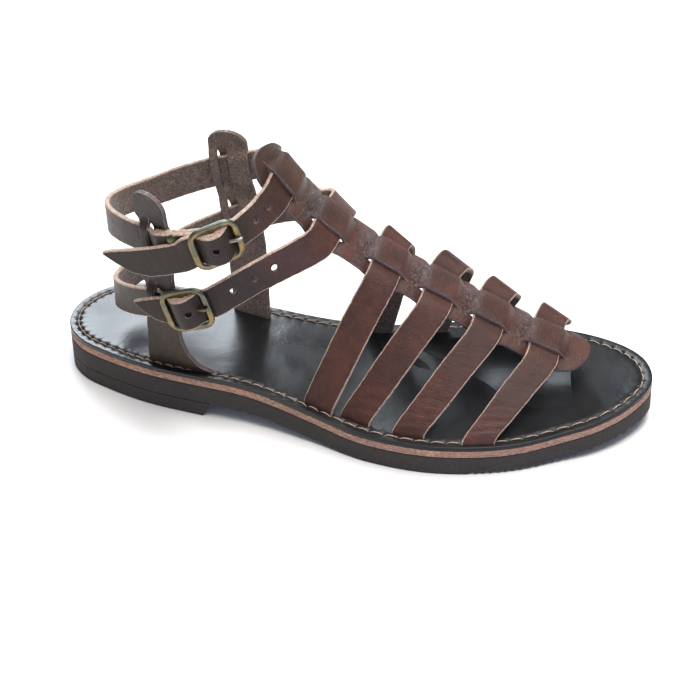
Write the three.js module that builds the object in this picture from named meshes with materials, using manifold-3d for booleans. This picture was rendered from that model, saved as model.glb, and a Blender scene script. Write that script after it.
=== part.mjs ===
// A flat leather sandal for the right foot. A layered sole with a low slanted
// heel carries one upper: a slotted spine along the instep, four straps across
// the foot, two ankle stays and two ankle straps with centre bar buckles.
// Millimetres. +X points to the toe, +Z up, -Y is the outer side of the foot.

import * as THREE from 'three';
import { mergeVertices } from 'three/addons/utils/BufferGeometryUtils.js';
import Module from 'manifold-3d';

const wasm = await Module();
wasm.setup();

// Sole sizes
const soleLength = 263.5;
const soleWidth = 99.5;
const heelRise = 7.1;
const heelFront = 0.292;
const heelSlant = 4.3;
const shankStart = 0.295;
const shankEnd = 0.5765;
const springStart = 0.7776;
const toeSpring = 6.2;
const outsoleThickness = 8.7;
const midsoleThickness = 3.2;
const insoleThickness = 1.6;
const treadStart = 0.74;
const treadPitch = 3;
const treadDepth = 0.9;

// Space left between neighbouring pieces
const gap = 0.3;

// Upper sizes
const upperHeight = 120;
const leather = 2.2;
const marginLeather = 2.14;
const spineWidth = 29;
const spineBand = 16;
const spineCrown = 37;
const crossWidth = 14.2;
const ankleWidth = 14;
const bandRise = 2.6;
const marginDrop = 1.4;
const strapLift = 0.6;
const slotReach = 12.5;
const slotFlat = 4;
const stayRearMargin = 6;
const stayBand = 4.8;
const holeDiameter = 3.2;
const footDepth = insoleThickness;

// Buckle sizes
const buckleLength = 21;
const buckleWidth = 19.6;
const barWidth = 2.3;
const prongWidth = 2;
const prongThickness = 1.7;

// Outline of the sole from heel to toe, as shares of its length and width
const lateralEdge = [
  { along: 0.012, side: -0.096 },
  { along: 0.046, side: -0.189 },
  { along: 0.098, side: -0.249 },
  { along: 0.174, side: -0.305 },
  { along: 0.275, side: -0.337 },
  { along: 0.374, side: -0.356 },
  { along: 0.472, side: -0.410 },
  { along: 0.571, side: -0.481 },
  { along: 0.665, side: -0.498 },
  { along: 0.748, side: -0.459 },
  { along: 0.815, side: -0.391 },
  { along: 0.876, side: -0.292 },
  { along: 0.932, side: -0.193 },
  { along: 0.975, side: -0.067 },
];
const medialEdge = [
  { along: 0.011, side: 0.153 },
  { along: 0.044, side: 0.264 },
  { along: 0.115, side: 0.324 },
  { along: 0.214, side: 0.309 },
  { along: 0.314, side: 0.267 },
  { along: 0.416, side: 0.273 },
  { along: 0.518, side: 0.331 },
  { along: 0.619, side: 0.422 },
  { along: 0.708, side: 0.488 },
  { along: 0.798, side: 0.499 },
  { along: 0.879, side: 0.464 },
  { along: 0.945, side: 0.374 },
  { along: 0.984, side: 0.256 },
];
const heelEnd = { along: 0, side: 0.029 };
const toeEnd = { along: 1, side: 0.095 };

// Centre line of the spine, from the ankle down to the toes
const spineLine = [
  { along: 0.363, side: 0.029, up: 0.992 },
  { along: 0.384, side: 0.031, up: 0.917 },
  { along: 0.411, side: 0.033, up: 0.842 },
  { along: 0.441, side: 0.037, up: 0.772 },
  { along: 0.471, side: 0.041, up: 0.713 },
  { along: 0.506, side: 0.046, up: 0.658 },
  { along: 0.547, side: 0.051, up: 0.600 },
  { along: 0.593, side: 0.058, up: 0.543 },
  { along: 0.657, side: 0.066, up: 0.473 },
  { along: 0.733, side: 0.077, up: 0.392 },
  { along: 0.809, side: 0.087, up: 0.315 },
  { along: 0.858, side: 0.094, up: 0.275 },
  { along: 0.895, side: 0.099, up: 0.257 },
];

// Pairs of slots in the spine: two for the ankle straps, four for the foot
const spineSlots = [
  { along: 0.397 },
  { along: 0.469 },
  { along: 0.564 },
  { along: 0.649 },
  { along: 0.732 },
  { along: 0.824 },
];

// Straps across the foot: the slot each one uses, its two feet on the sole
// and the shoulder where it turns down on the inner side
const crossStraps = [
  { slot: 2, outerAlong: 0.482, outerSide: -0.362, innerAlong: 0.519, innerSide: 0.270,
    shoulderAlong: 0.564, shoulderSide: 0.275, bulge: 3 },
  { slot: 3, outerAlong: 0.548, outerSide: -0.393, innerAlong: 0.612, innerSide: 0.340,
    shoulderAlong: 0.658, shoulderSide: 0.335, bulge: 3 },
  { slot: 4, outerAlong: 0.640, outerSide: -0.437, innerAlong: 0.699, innerSide: 0.406,
    shoulderAlong: 0.739, shoulderSide: 0.340, bulge: 3 },
  { slot: 5, outerAlong: 0.753, outerSide: -0.423, innerAlong: 0.790, innerSide: 0.426,
    shoulderAlong: 0.825, shoulderSide: 0.355, bulge: 2.5 },
];

// Ankle straps from the outer stay round the heel and back over the instep.
// Lean tips the width toward the heel, flare tips it outward, in degrees.
const upperLoop = [
  { along: 0.208, side: -0.322, up: 0.736, lean: 4, flare: 5 },
  { along: 0.183, side: -0.288, up: 0.726, lean: 4, flare: 4 },
  { along: 0.146, side: -0.226, up: 0.713, lean: 2, flare: 3 },
  { along: 0.118, side: -0.152, up: 0.697, lean: 0, flare: 2 },
  { along: 0.099, side: -0.062, up: 0.675, lean: 0, flare: 1 },
  { along: 0.093, side: 0.029, up: 0.657, lean: 0, flare: 1 },
  { along: 0.102, side: 0.119, up: 0.647, lean: 0, flare: 0 },
  { along: 0.128, side: 0.192, up: 0.649, lean: 4, flare: -1 },
  { along: 0.158, side: 0.233, up: 0.667, lean: 10, flare: -2 },
  { along: 0.187, side: 0.255, up: 0.692, lean: 15, flare: -2 },
  { along: 0.228, side: 0.271, up: 0.726, lean: 17, flare: -2 },
  { along: 0.273, side: 0.275, up: 0.760, lean: 18, flare: -2 },
  { along: 0.327, side: 0.270, up: 0.798, lean: 20, flare: -1 },
  { along: 0.365, side: 0.235, up: 0.830, lean: 26, flare: 1 },
  { along: 0.386, side: 0.164, up: 0.856, lean: 33, flare: 0 },
  { along: 0.396, side: 0.089, up: 0.874, lean: 38, flare: 0 },
  { along: 0.398, side: 0.019, up: 0.881, lean: 38, flare: 0 },
  { along: 0.397, side: -0.052, up: 0.875, lean: 36, flare: 0 },
  { along: 0.394, side: -0.117, up: 0.859, lean: 32, flare: 0 },
  { along: 0.385, side: -0.172, up: 0.841, lean: 26, flare: 2 },
  { along: 0.375, side: -0.238, up: 0.828, lean: 20, flare: 4 },
  { along: 0.364, side: -0.293, up: 0.819, lean: 14, flare: 4 },
];
const lowerLoop = [
  { along: 0.220, side: -0.343, up: 0.482, lean: 4, flare: 3 },
  { along: 0.191, side: -0.303, up: 0.457, lean: 3, flare: 3 },
  { along: 0.158, side: -0.243, up: 0.422, lean: 0, flare: 2 },
  { along: 0.125, side: -0.162, up: 0.384, lean: -1, flare: 2 },
  { along: 0.101, side: -0.072, up: 0.352, lean: -2, flare: 1 },
  { along: 0.093, side: 0.009, up: 0.333, lean: -2, flare: 1 },
  { along: 0.098, side: 0.089, up: 0.332, lean: 0, flare: 0 },
  { along: 0.117, side: 0.149, up: 0.355, lean: 5, flare: -1 },
  { along: 0.145, side: 0.189, up: 0.388, lean: 11, flare: -2 },
  { along: 0.182, side: 0.223, up: 0.432, lean: 18, flare: -2 },
  { along: 0.222, side: 0.248, up: 0.480, lean: 22, flare: -2 },
  { along: 0.257, side: 0.262, up: 0.520, lean: 24, flare: -2 },
  { along: 0.289, side: 0.270, up: 0.557, lean: 24, flare: -1 },
  { along: 0.342, side: 0.283, up: 0.602, lean: 24, flare: 2 },
  { along: 0.388, side: 0.293, up: 0.626, lean: 26, flare: -1 },
  { along: 0.434, side: 0.296, up: 0.652, lean: 34, flare: 0 },
  { along: 0.463, side: 0.272, up: 0.676, lean: 43, flare: 0 },
  { along: 0.472, side: 0.174, up: 0.705, lean: 49, flare: 0 },
  { along: 0.471, side: 0.049, up: 0.721, lean: 50, flare: 0 },
  { along: 0.470, side: -0.047, up: 0.715, lean: 48, flare: 0 },
  { along: 0.464, side: -0.117, up: 0.697, lean: 43, flare: 0 },
  { along: 0.440, side: -0.175, up: 0.672, lean: 34, flare: 1 },
  { along: 0.408, side: -0.238, up: 0.645, lean: 28, flare: 2 },
  { along: 0.377, side: -0.303, up: 0.619, lean: 22, flare: 3 },
  { along: 0.345, side: -0.356, up: 0.582, lean: 20, flare: 2 },
];

// Free ends behind the buckles. Low and high are the two edges as shares of
// the half width, so that the tip is cut on a slant.
const upperTail = [
  { along: 0.283, side: -0.428, up: 0.748, lean: 0, flare: 3, low: -1, high: 1 },
  { along: 0.252, side: -0.423, up: 0.718, lean: 0, flare: 3, low: -1, high: 1 },
  { along: 0.213, side: -0.413, up: 0.689, lean: 0, flare: 3, low: -1, high: 1 },
  { along: 0.183, side: -0.404, up: 0.670, lean: 0, flare: 3, low: -0.6, high: 1 },
  { along: 0.160, side: -0.396, up: 0.656, lean: 0, flare: 3, low: 0.15, high: 1 },
  { along: 0.145, side: -0.392, up: 0.647, lean: 0, flare: 3, low: 0.75, high: 0.95 },
];
const lowerTail = [
  { along: 0.236, side: -0.392, up: 0.485, lean: 6, flare: 0, low: -1, high: 1 },
  { along: 0.215, side: -0.394, up: 0.472, lean: 6, flare: 0, low: -0.5, high: 1 },
  { along: 0.200, side: -0.395, up: 0.463, lean: 6, flare: 0, low: 0.2, high: 1 },
  { along: 0.189, side: -0.396, up: 0.457, lean: 6, flare: 0, low: 0.8, high: 0.95 },
];

// Stays beside the ankle, from the sole up. Turn swings the width about Z.
const outerStay = [
  { along: 0.237, side: -0.277, up: 0.182, width: 31, turn: -8 },
  { along: 0.228, side: -0.284, up: 0.206, width: 25.5, turn: -10 },
  { along: 0.220, side: -0.294, up: 0.262, width: 20, turn: -13 },
  { along: 0.218, side: -0.306, up: 0.325, width: 17.9, turn: -17 },
  { along: 0.219, side: -0.319, up: 0.390, width: 17.7, turn: -20 },
  { along: 0.221, side: -0.340, up: 0.480, width: 18, turn: -24 },
  { along: 0.219, side: -0.336, up: 0.600, width: 18.4, turn: -27 },
  { along: 0.218, side: -0.328, up: 0.740, width: 18.9, turn: -28 },
  { along: 0.216, side: -0.339, up: 0.842, width: 18.7, turn: -28 },
  { along: 0.214, side: -0.353, up: 0.936, width: 18.4, turn: -28 },
];
const innerStay = [
  { along: 0.305, side: 0.192, up: 0.182, width: 18.5, turn: -12 },
  { along: 0.304, side: 0.199, up: 0.206, width: 18, turn: -10 },
  { along: 0.302, side: 0.212, up: 0.250, width: 17.6, turn: -5 },
  { along: 0.298, side: 0.233, up: 0.350, width: 17.5, turn: 0 },
  { along: 0.294, side: 0.253, up: 0.467, width: 17.5, turn: 3 },
  { along: 0.289, side: 0.264, up: 0.557, width: 17.6, turn: 3 },
  { along: 0.279, side: 0.269, up: 0.667, width: 17.8, turn: 3 },
  { along: 0.273, side: 0.269, up: 0.760, width: 18, turn: 2 },
  { along: 0.269, side: 0.272, up: 0.842, width: 18, turn: 0 },
  { along: 0.268, side: 0.270, up: 0.915, width: 18, turn: 0 },
];
const outerStaySlots = [0.480, 0.741];
const innerStaySlots = [0.557, 0.760];

// Buckles: where the centre bar lies, and how the strap runs through it.
// Heading turns the frame about Z and rise tips its front end up, in degrees.
const buckles = {
  upper: { along: 0.331, side: -0.404, up: 0.793, heading: 31, rise: 14.5 },
  lower: { along: 0.276, side: -0.417, up: 0.514, heading: 0, rise: 18 },
};

// Fold of the fixed end round the centre bar, from its flap to the stay
const foldLine = [
  { ahead: -21, out: -9.6 },
  { ahead: -15, out: -8.6 },
  { ahead: -9.4, out: -6.9 },
  { ahead: -5.4, out: -5.6 },
  { ahead: -2.2, out: -3.6 },
  { ahead: 0, out: -2.55 },
  { ahead: 1.8, out: -1.8 },
  { ahead: 2.55, out: 0 },
  { ahead: 1.8, out: 1.8 },
  { ahead: 0, out: 2.5 },
  { ahead: -2.4, out: 1.3 },
  { ahead: -5.2, out: -1.8 },
  { ahead: -9.4, out: -4.8 },
  { ahead: -15, out: -6.6 },
  { ahead: -21, out: -7.6 },
];

// Free end on its way through the frame: under, over the fold, and under
const threadLine = [
  { ahead: 10.3, out: -2.9 },
  { ahead: 8, out: -2.5 },
  { ahead: 5.1, out: 0.6 },
  { ahead: 2.7, out: 3.8 },
  { ahead: 0, out: 4.6 },
  { ahead: -2.8, out: 3.7 },
  { ahead: -5.4, out: 0.5 },
  { ahead: -8, out: -2.5 },
  { ahead: -10.3, out: -3.1 },
];

// Punched holes in the free ends, as distances ahead of the centre bar
const upperHoles = [
  { along: 0.386, side: -0.166, up: 0.845 },
  { along: 0.375, side: -0.243, up: 0.827 },
];
const lowerHoles = [
  { along: 0.403, side: -0.243, up: 0.642 },
  { along: 0.377, side: -0.303, up: 0.619 },
  { along: 0.347, side: -0.353, up: 0.585 },
];

function place(row) {
  return new THREE.Vector3(
    (row.along - 0.5) * soleLength,
    row.side * soleWidth,
    (row.up || 0) * upperHeight,
  );
}

function smooth(t) {
  const c = Math.min(Math.max(t, 0), 1);
  return c * c * (3 - 2 * c);
}

// Height of the underside of the sole above the floor
function groundLine(along) {
  const drop = smooth((along - shankStart) / (shankEnd - shankStart));
  const tip = Math.max((along - springStart) / (1 - springStart), 0);
  return heelRise * (1 - drop) + toeSpring * tip * tip;
}

const outsoleTop = outsoleThickness;
const midsoleBottom = outsoleTop + gap;
const midsoleTop = midsoleBottom + midsoleThickness;
const insoleBottom = midsoleTop + gap;
const insoleTop = insoleBottom + insoleThickness;

// The outline is one closed curve, scaled to fill the named length and width
const outlineRows = [heelEnd, ...lateralEdge, toeEnd, ...[...medialEdge].reverse()];
const outlineCurve = new THREE.CatmullRomCurve3(
  outlineRows.map((row) => place({ along: row.along, side: row.side })),
  true,
  'centripetal',
);
const outlinePoints = outlineCurve.getSpacedPoints(600);
const outlineBox = new THREE.Box3().setFromPoints(outlinePoints);

function fitOutline(point) {
  const size = outlineBox.getSize(new THREE.Vector3());
  const middle = outlineBox.getCenter(new THREE.Vector3());
  return new THREE.Vector2(
    (point.x - middle.x) * soleLength / size.x,
    (point.y - middle.y) * soleWidth / size.y,
  );
}

const fittedOutline = outlinePoints.map(fitOutline);

// Outer and inner edge of the sole at a share of its length
function soleEdges(along) {
  const x = (along - 0.5) * soleLength;
  const found = [];
  for (let i = 0; i + 1 < fittedOutline.length; i += 1) {
    const a = fittedOutline[i];
    const b = fittedOutline[i + 1];
    if ((a.x - x) * (b.x - x) <= 0 && a.x !== b.x) {
      found.push(a.y + (b.y - a.y) * (x - a.x) / (b.x - a.x));
    }
  }
  return [Math.min(...found), Math.max(...found)];
}

function endStations(count) {
  const stations = [];
  for (let i = 0; i <= count; i += 1) {
    stations.push(0.5 - 0.5 * Math.cos(Math.PI * i / count));
  }
  return stations;
}

// Turns rows of top and bottom points into one closed body
function slab(top, bottom) {
  const rows = top.length;
  const columns = top[0].length;
  const points = [...top.flat(), ...bottom.flat()];
  const half = rows * columns;
  const index = [];
  const at = (i, j) => i * columns + j;
  const quad = (a, b, c, d) => index.push(a, b, c, a, c, d);
  for (let i = 0; i + 1 < rows; i += 1) {
    for (let j = 0; j + 1 < columns; j += 1) {
      quad(at(i, j), at(i + 1, j), at(i + 1, j + 1), at(i, j + 1));
      quad(half + at(i, j), half + at(i, j + 1), half + at(i + 1, j + 1), half + at(i + 1, j));
    }
    quad(at(i, 0), half + at(i, 0), half + at(i + 1, 0), at(i + 1, 0));
    const last = columns - 1;
    quad(at(i, last), at(i + 1, last), half + at(i + 1, last), half + at(i, last));
  }
  for (let j = 0; j + 1 < columns; j += 1) {
    const end = rows - 1;
    quad(at(0, j), at(0, j + 1), half + at(0, j + 1), half + at(0, j));
    quad(at(end, j), half + at(end, j), half + at(end, j + 1), at(end, j + 1));
  }
  const geometry = new THREE.BufferGeometry();
  geometry.setAttribute('position', new THREE.Float32BufferAttribute(
    points.flatMap((p) => [p.x, p.y, p.z]), 3));
  geometry.setIndex(index);
  return geometry;
}

function volumeOf(position, index) {
  let six = 0;
  const a = new THREE.Vector3();
  const b = new THREE.Vector3();
  const c = new THREE.Vector3();
  for (let i = 0; i < index.length; i += 3) {
    a.fromBufferAttribute(position, index[i]);
    b.fromBufferAttribute(position, index[i + 1]);
    c.fromBufferAttribute(position, index[i + 2]);
    six += a.dot(b.cross(c));
  }
  return six / 6;
}

// Merges shared corners, drops empty triangles and turns the faces outward
function closed(source) {
  const bare = source.clone();
  bare.deleteAttribute('normal');
  bare.deleteAttribute('uv');
  const merged = mergeVertices(bare, 1e-4);
  const old = merged.index.array;
  const index = [];
  for (let i = 0; i < old.length; i += 3) {
    const [a, b, c] = [old[i], old[i + 1], old[i + 2]];
    if (a !== b && b !== c && c !== a) {
      index.push(a, b, c);
    }
  }
  if (volumeOf(merged.attributes.position, index) < 0) {
    for (let i = 0; i < index.length; i += 3) {
      const swap = index[i];
      index[i] = index[i + 1];
      index[i + 1] = swap;
    }
  }
  merged.setIndex(index);
  return merged;
}

function solid(source) {
  const geometry = closed(source);
  return new wasm.Manifold(new wasm.Mesh({
    numProp: 3,
    vertProperties: new Float32Array(geometry.attributes.position.array),
    triVerts: new Uint32Array(geometry.index.array),
  }));
}

function backToGeometry(body) {
  const mesh = body.getMesh();
  const geometry = new THREE.BufferGeometry();
  const position = [];
  for (let i = 0; i < mesh.vertProperties.length; i += mesh.numProp) {
    position.push(
      mesh.vertProperties[i],
      mesh.vertProperties[i + 1],
      mesh.vertProperties[i + 2],
    );
  }
  geometry.setAttribute('position', new THREE.Float32BufferAttribute(position, 3));
  geometry.setIndex(Array.from(mesh.triVerts));
  return geometry;
}

// Keeps the outer skin only: small pockets shut in where straps cross are filled
function withoutPockets(geometry) {
  const merged = closed(geometry);
  const index = merged.index.array;
  const parent = Array.from({ length: merged.attributes.position.count }, (_, i) => i);
  const root = (i) => {
    let r = i;
    while (parent[r] !== r) {
      parent[r] = parent[parent[r]];
      r = parent[r];
    }
    return r;
  };
  for (let i = 0; i < index.length; i += 3) {
    parent[root(index[i + 1])] = root(index[i]);
    parent[root(index[i + 2])] = root(index[i]);
  }
  const skins = new Map();
  for (let i = 0; i < index.length; i += 3) {
    const key = root(index[i]);
    if (!skins.has(key)) {
      skins.set(key, []);
    }
    skins.get(key).push(index[i], index[i + 1], index[i + 2]);
  }
  const kept = [...skins.values()].filter(
    (skin) => volumeOf(merged.attributes.position, skin) > 0);
  merged.setIndex(kept.flat());
  return merged;
}

// A layer of the sole between two heights over the ground line
function soleLayer(stations, lowAt, highAt) {
  const top = [];
  const bottom = [];
  for (const along of stations) {
    const [outer, inner] = soleEdges(along);
    const x = (along - 0.5) * soleLength;
    top.push([outer, inner].map((y) => new THREE.Vector3(x, y, highAt(along))));
    bottom.push([outer, inner].map((y) => new THREE.Vector3(x, y, lowAt(along))));
  }
  return slab(top, bottom);
}

// Saw teeth across the front of the tread
function treadHeight(along) {
  if (along < treadStart) {
    return 0;
  }
  const turn = (along - treadStart) * soleLength / treadPitch;
  const share = turn - Math.floor(turn + 1e-6);
  const tooth = share < 0.75 ? share / 0.75 : (1 - share) / 0.25;
  return treadDepth * Math.max(tooth, 0);
}

function treadStations() {
  const stations = [];
  const step = treadPitch / soleLength;
  for (let along = treadStart; along < 0.985; along += step) {
    stations.push(along, along + 0.75 * step);
  }
  return stations;
}

function outsole() {
  const plain = endStations(52).filter((along) => along < treadStart || along > 0.985);
  const stations = [...plain, ...treadStations()].sort((a, b) => a - b);
  return closed(soleLayer(
    stations,
    (along) => groundLine(along) + (along < 0.985 ? treadHeight(along) : 0),
    (along) => groundLine(along) + outsoleTop,
  ));
}

// The heel follows the outline and its front slants forward going up
function heel() {
  const count = 22;
  const top = [];
  const bottom = [];
  const slant = heelSlant / soleLength;
  for (let i = 0; i <= count; i += 1) {
    const share = 1 - Math.cos(Math.PI / 2 * i / count);
    const high = heelFront * share;
    const low = (heelFront - slant) * share;
    const put = (along, z) => soleEdges(along).map(
      (y) => new THREE.Vector3((along - 0.5) * soleLength, y, z));
    top.push(put(high, heelRise - gap));
    bottom.push(put(low, 0));
  }
  return closed(slab(top, bottom));
}

function midsole() {
  return closed(soleLayer(
    endStations(48),
    (along) => groundLine(along) + midsoleBottom,
    (along) => groundLine(along) + midsoleTop,
  ));
}

function curveThrough(points) {
  return new THREE.CatmullRomCurve3(points, false, 'centripetal');
}

// Spine: a crowned strip whose band rises and whose margins sink at each slot
const spineCurve = curveThrough(spineLine.map(place));
spineCurve.arcLengthDivisions = 800;
const spineArc = spineCurve.getLength();

function alongSpine(along) {
  const x = (along - 0.5) * soleLength;
  let low = 0;
  let high = 1;
  for (let i = 0; i < 40; i += 1) {
    const middle = (low + high) / 2;
    if (spineCurve.getPointAt(middle).x < x) {
      low = middle;
    } else {
      high = middle;
    }
  }
  return low * spineArc;
}

const spineSlotPlaces = spineSlots.map((slot) => alongSpine(slot.along));

function slotBump(distance) {
  return smooth((slotReach - Math.abs(distance)) / (slotReach - slotFlat));
}

function spineFrame(run) {
  const u = Math.min(Math.max(run / spineArc, 0), 1);
  const centre = spineCurve.getPointAt(u);
  const tangent = spineCurve.getTangentAt(u);
  const across = new THREE.Vector3(0, 1, 0);
  across.addScaledVector(tangent, -tangent.y).normalize();
  const normal = new THREE.Vector3().crossVectors(tangent, across);
  return { centre, tangent, across, normal };
}

function spinePoint(run, width, lift) {
  const { centre, tangent, across, normal } = spineFrame(run);
  const turn = width / spineCrown;
  const facing = normal.clone().multiplyScalar(Math.cos(turn));
  facing.addScaledVector(across, Math.sin(turn));
  const point = centre.clone();
  point.addScaledVector(across, spineCrown * Math.sin(turn));
  point.addScaledVector(normal, spineCrown * (Math.cos(turn) - 1));
  point.addScaledVector(facing, lift);
  return { point, facing, tangent };
}

// Half width of the spine, round at both ends
function spineHalf(run) {
  const end = Math.min(run, spineArc - run);
  const reach = run < spineArc / 2 ? 8.5 : 12;
  const share = Math.max(1 - end / reach, 0);
  return spineWidth / 2 * Math.sqrt(Math.max(1 - share ** 2.2, 0));
}

function runs(length, step, marks) {
  const list = [];
  const count = Math.round(length / step);
  for (let i = 0; i <= count; i += 1) {
    list.push(length * i / count);
  }
  for (const mark of marks) {
    list.push(mark);
  }
  return [...new Set(list)].sort((a, b) => a - b);
}

function stripOf(stations, across, thickness) {
  const half = thickness / 2;
  const top = [];
  const bottom = [];
  for (const station of stations) {
    const cells = across(station);
    top.push(cells.map((c) => c.point.clone().addScaledVector(c.facing, half)));
    bottom.push(cells.map((c) => c.point.clone().addScaledVector(c.facing, -half)));
  }
  return slab(top, bottom);
}

function spineStrips() {
  const overlap = 0.1;
  const band = spineBand / 2;
  const marks = [0.5, 1.5, 3, 4.5, spineArc - 4.5, spineArc - 3, spineArc - 1.5, spineArc - 0.5];
  const stations = runs(spineArc, 4.4, marks);
  const raise = (run) => spineSlotPlaces.reduce(
    (sum, slot) => Math.max(sum, slotBump(run - slot)), 0);
  const middle = stripOf(stations, (run) => {
    const half = Math.min(band + overlap, spineHalf(run));
    return [-1, 0, 1].map(
      (share) => spinePoint(run, share * half, bandRise * raise(run)));
  }, leather);
  const wide = stations.filter((run) => spineHalf(run) > band + 0.4);
  const margin = (sign) => stripOf(wide, (run) => {
    const half = spineHalf(run);
    return [band - overlap, half].map(
      (width) => spinePoint(run, sign * width, -marginDrop * raise(run)));
  }, marginLeather);
  return [middle, margin(-1), margin(1)];
}

// A strap along a curve. Each row has a point and an aim for its width.
function ribbon(rows, width, step, square) {
  const curve = curveThrough(rows.map((row) => row.point));
  const spans = rows.length - 1;
  const top = [];
  const bottom = [];
  const station = (i, share) => {
    const t = (i + share) / spans;
    const from = rows[i];
    const to = rows[Math.min(i + 1, spans)];
    const mix = (name) => from[name] + (to[name] - from[name]) * share;
    const point = curve.getPoint(t);
    const tangent = curve.getTangent(t);
    const aim = from.aim.clone().lerp(to.aim, share).normalize();
    if (square) {
      aim.addScaledVector(tangent, -aim.dot(tangent)).normalize();
    }
    const facing = new THREE.Vector3().crossVectors(aim, tangent).normalize();
    const edges = [mix('low') * width / 2, mix('high') * width / 2];
    const thick = mix('thick') / 2;
    const put = (edge, side) => point.clone().addScaledVector(aim, edge)
      .addScaledVector(facing, side * thick);
    top.push(edges.map((edge) => put(edge, 1)));
    bottom.push(edges.map((edge) => put(edge, -1)));
  };
  for (let i = 0; i < spans; i += 1) {
    const length = rows[i].point.distanceTo(rows[i + 1].point);
    const count = Math.max(1, Math.round(length / step));
    for (let k = 0; k < count; k += 1) {
      station(i, k / count);
    }
  }
  station(spans, 0);
  return slab(top, bottom);
}

function row(point, aim, more) {
  return { point, aim, low: -1, high: 1, thick: leather, ...more };
}

// Direction of the rim of the sole, with the slope of the insole
function rimAim(along, sign) {
  const step = 0.012;
  const edge = sign < 0 ? 0 : 1;
  const a = soleEdges(along - step)[edge];
  const b = soleEdges(along + step)[edge];
  const rise = groundLine(along + step) - groundLine(along - step);
  return new THREE.Vector3(2 * step * soleLength, b - a, rise).normalize();
}

// A strap foot stands in its slot, square to the insole
function footRows(along, side, sign) {
  const aim = rimAim(along, sign);
  const upright = new THREE.Vector3(-aim.z, 0, 1).normalize();
  const base = place({ along, side });
  base.z = groundLine(along) + insoleBottom;
  return {
    aim,
    low: base,
    high: base.clone().addScaledVector(upright, footDepth + 1),
    slot: [
      base.clone().addScaledVector(upright, -2),
      base.clone().addScaledVector(upright, 4),
    ],
  };
}

function slotCutter(foot, width) {
  const play = 1.4 * gap;
  const rows = foot.slot.map((point) => row(point, foot.aim, { thick: leather + 2 * play }));
  return ribbon(rows, width + 2 * play, 10, false);
}

function crossStrap(strap) {
  const run = spineSlotPlaces[strap.slot];
  const outer = footRows(strap.outerAlong, strap.outerSide, -1);
  const inner = footRows(strap.innerAlong, strap.innerSide, 1);
  const edge = spineWidth / 2;
  const at = (width, lift) => spinePoint(run, width, lift).point;
  const aim = spineFrame(run).tangent;
  const outerEdge = at(-edge, strapLift + 0.4);
  const bow = (share, size) => {
    const point = outer.high.clone().lerp(outerEdge, share);
    point.y -= size * strap.bulge;
    point.z += size * strap.bulge * 0.5;
    return point;
  };
  const blend = (share) => outer.aim.clone().lerp(aim, share).normalize();
  const shoulder = place({ along: strap.shoulderAlong, side: strap.shoulderSide });
  const innerEdge = at(edge, strapLift + 0.3);
  shoulder.z = innerEdge.z - 3.4;
  const crest = innerEdge.clone().lerp(shoulder, 0.6);
  crest.z += 2.6;
  const turned = aim.clone().add(new THREE.Vector3(0, -0.32, 0)).normalize();
  const down = (share) => {
    const point = shoulder.clone().lerp(inner.high, share);
    point.y += 1.5 * Math.sin(Math.PI * share);
    return point;
  };
  const back = (share) => aim.clone().lerp(inner.aim, share).normalize();
  const rows = [
    row(outer.low, outer.aim),
    row(outer.high, outer.aim),
    row(bow(0.3, 0.8), blend(0.3)),
    row(bow(0.65, 1), blend(0.65)),
    row(outerEdge, blend(0.95)),
    row(at(-edge / 2, strapLift), aim),
    row(at(0, strapLift), aim),
    row(at(edge / 2, strapLift), aim),
    row(innerEdge, aim),
    row(crest, turned),
    row(shoulder, turned),
    row(down(0.3), back(0.5)),
    row(down(0.65), back(0.8)),
    row(inner.high, inner.aim),
    row(inner.low, inner.aim),
  ];
  return {
    body: ribbon(rows, crossWidth, 8, false),
    cutters: [slotCutter(outer, crossWidth), slotCutter(inner, crossWidth)],
  };
}

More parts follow.
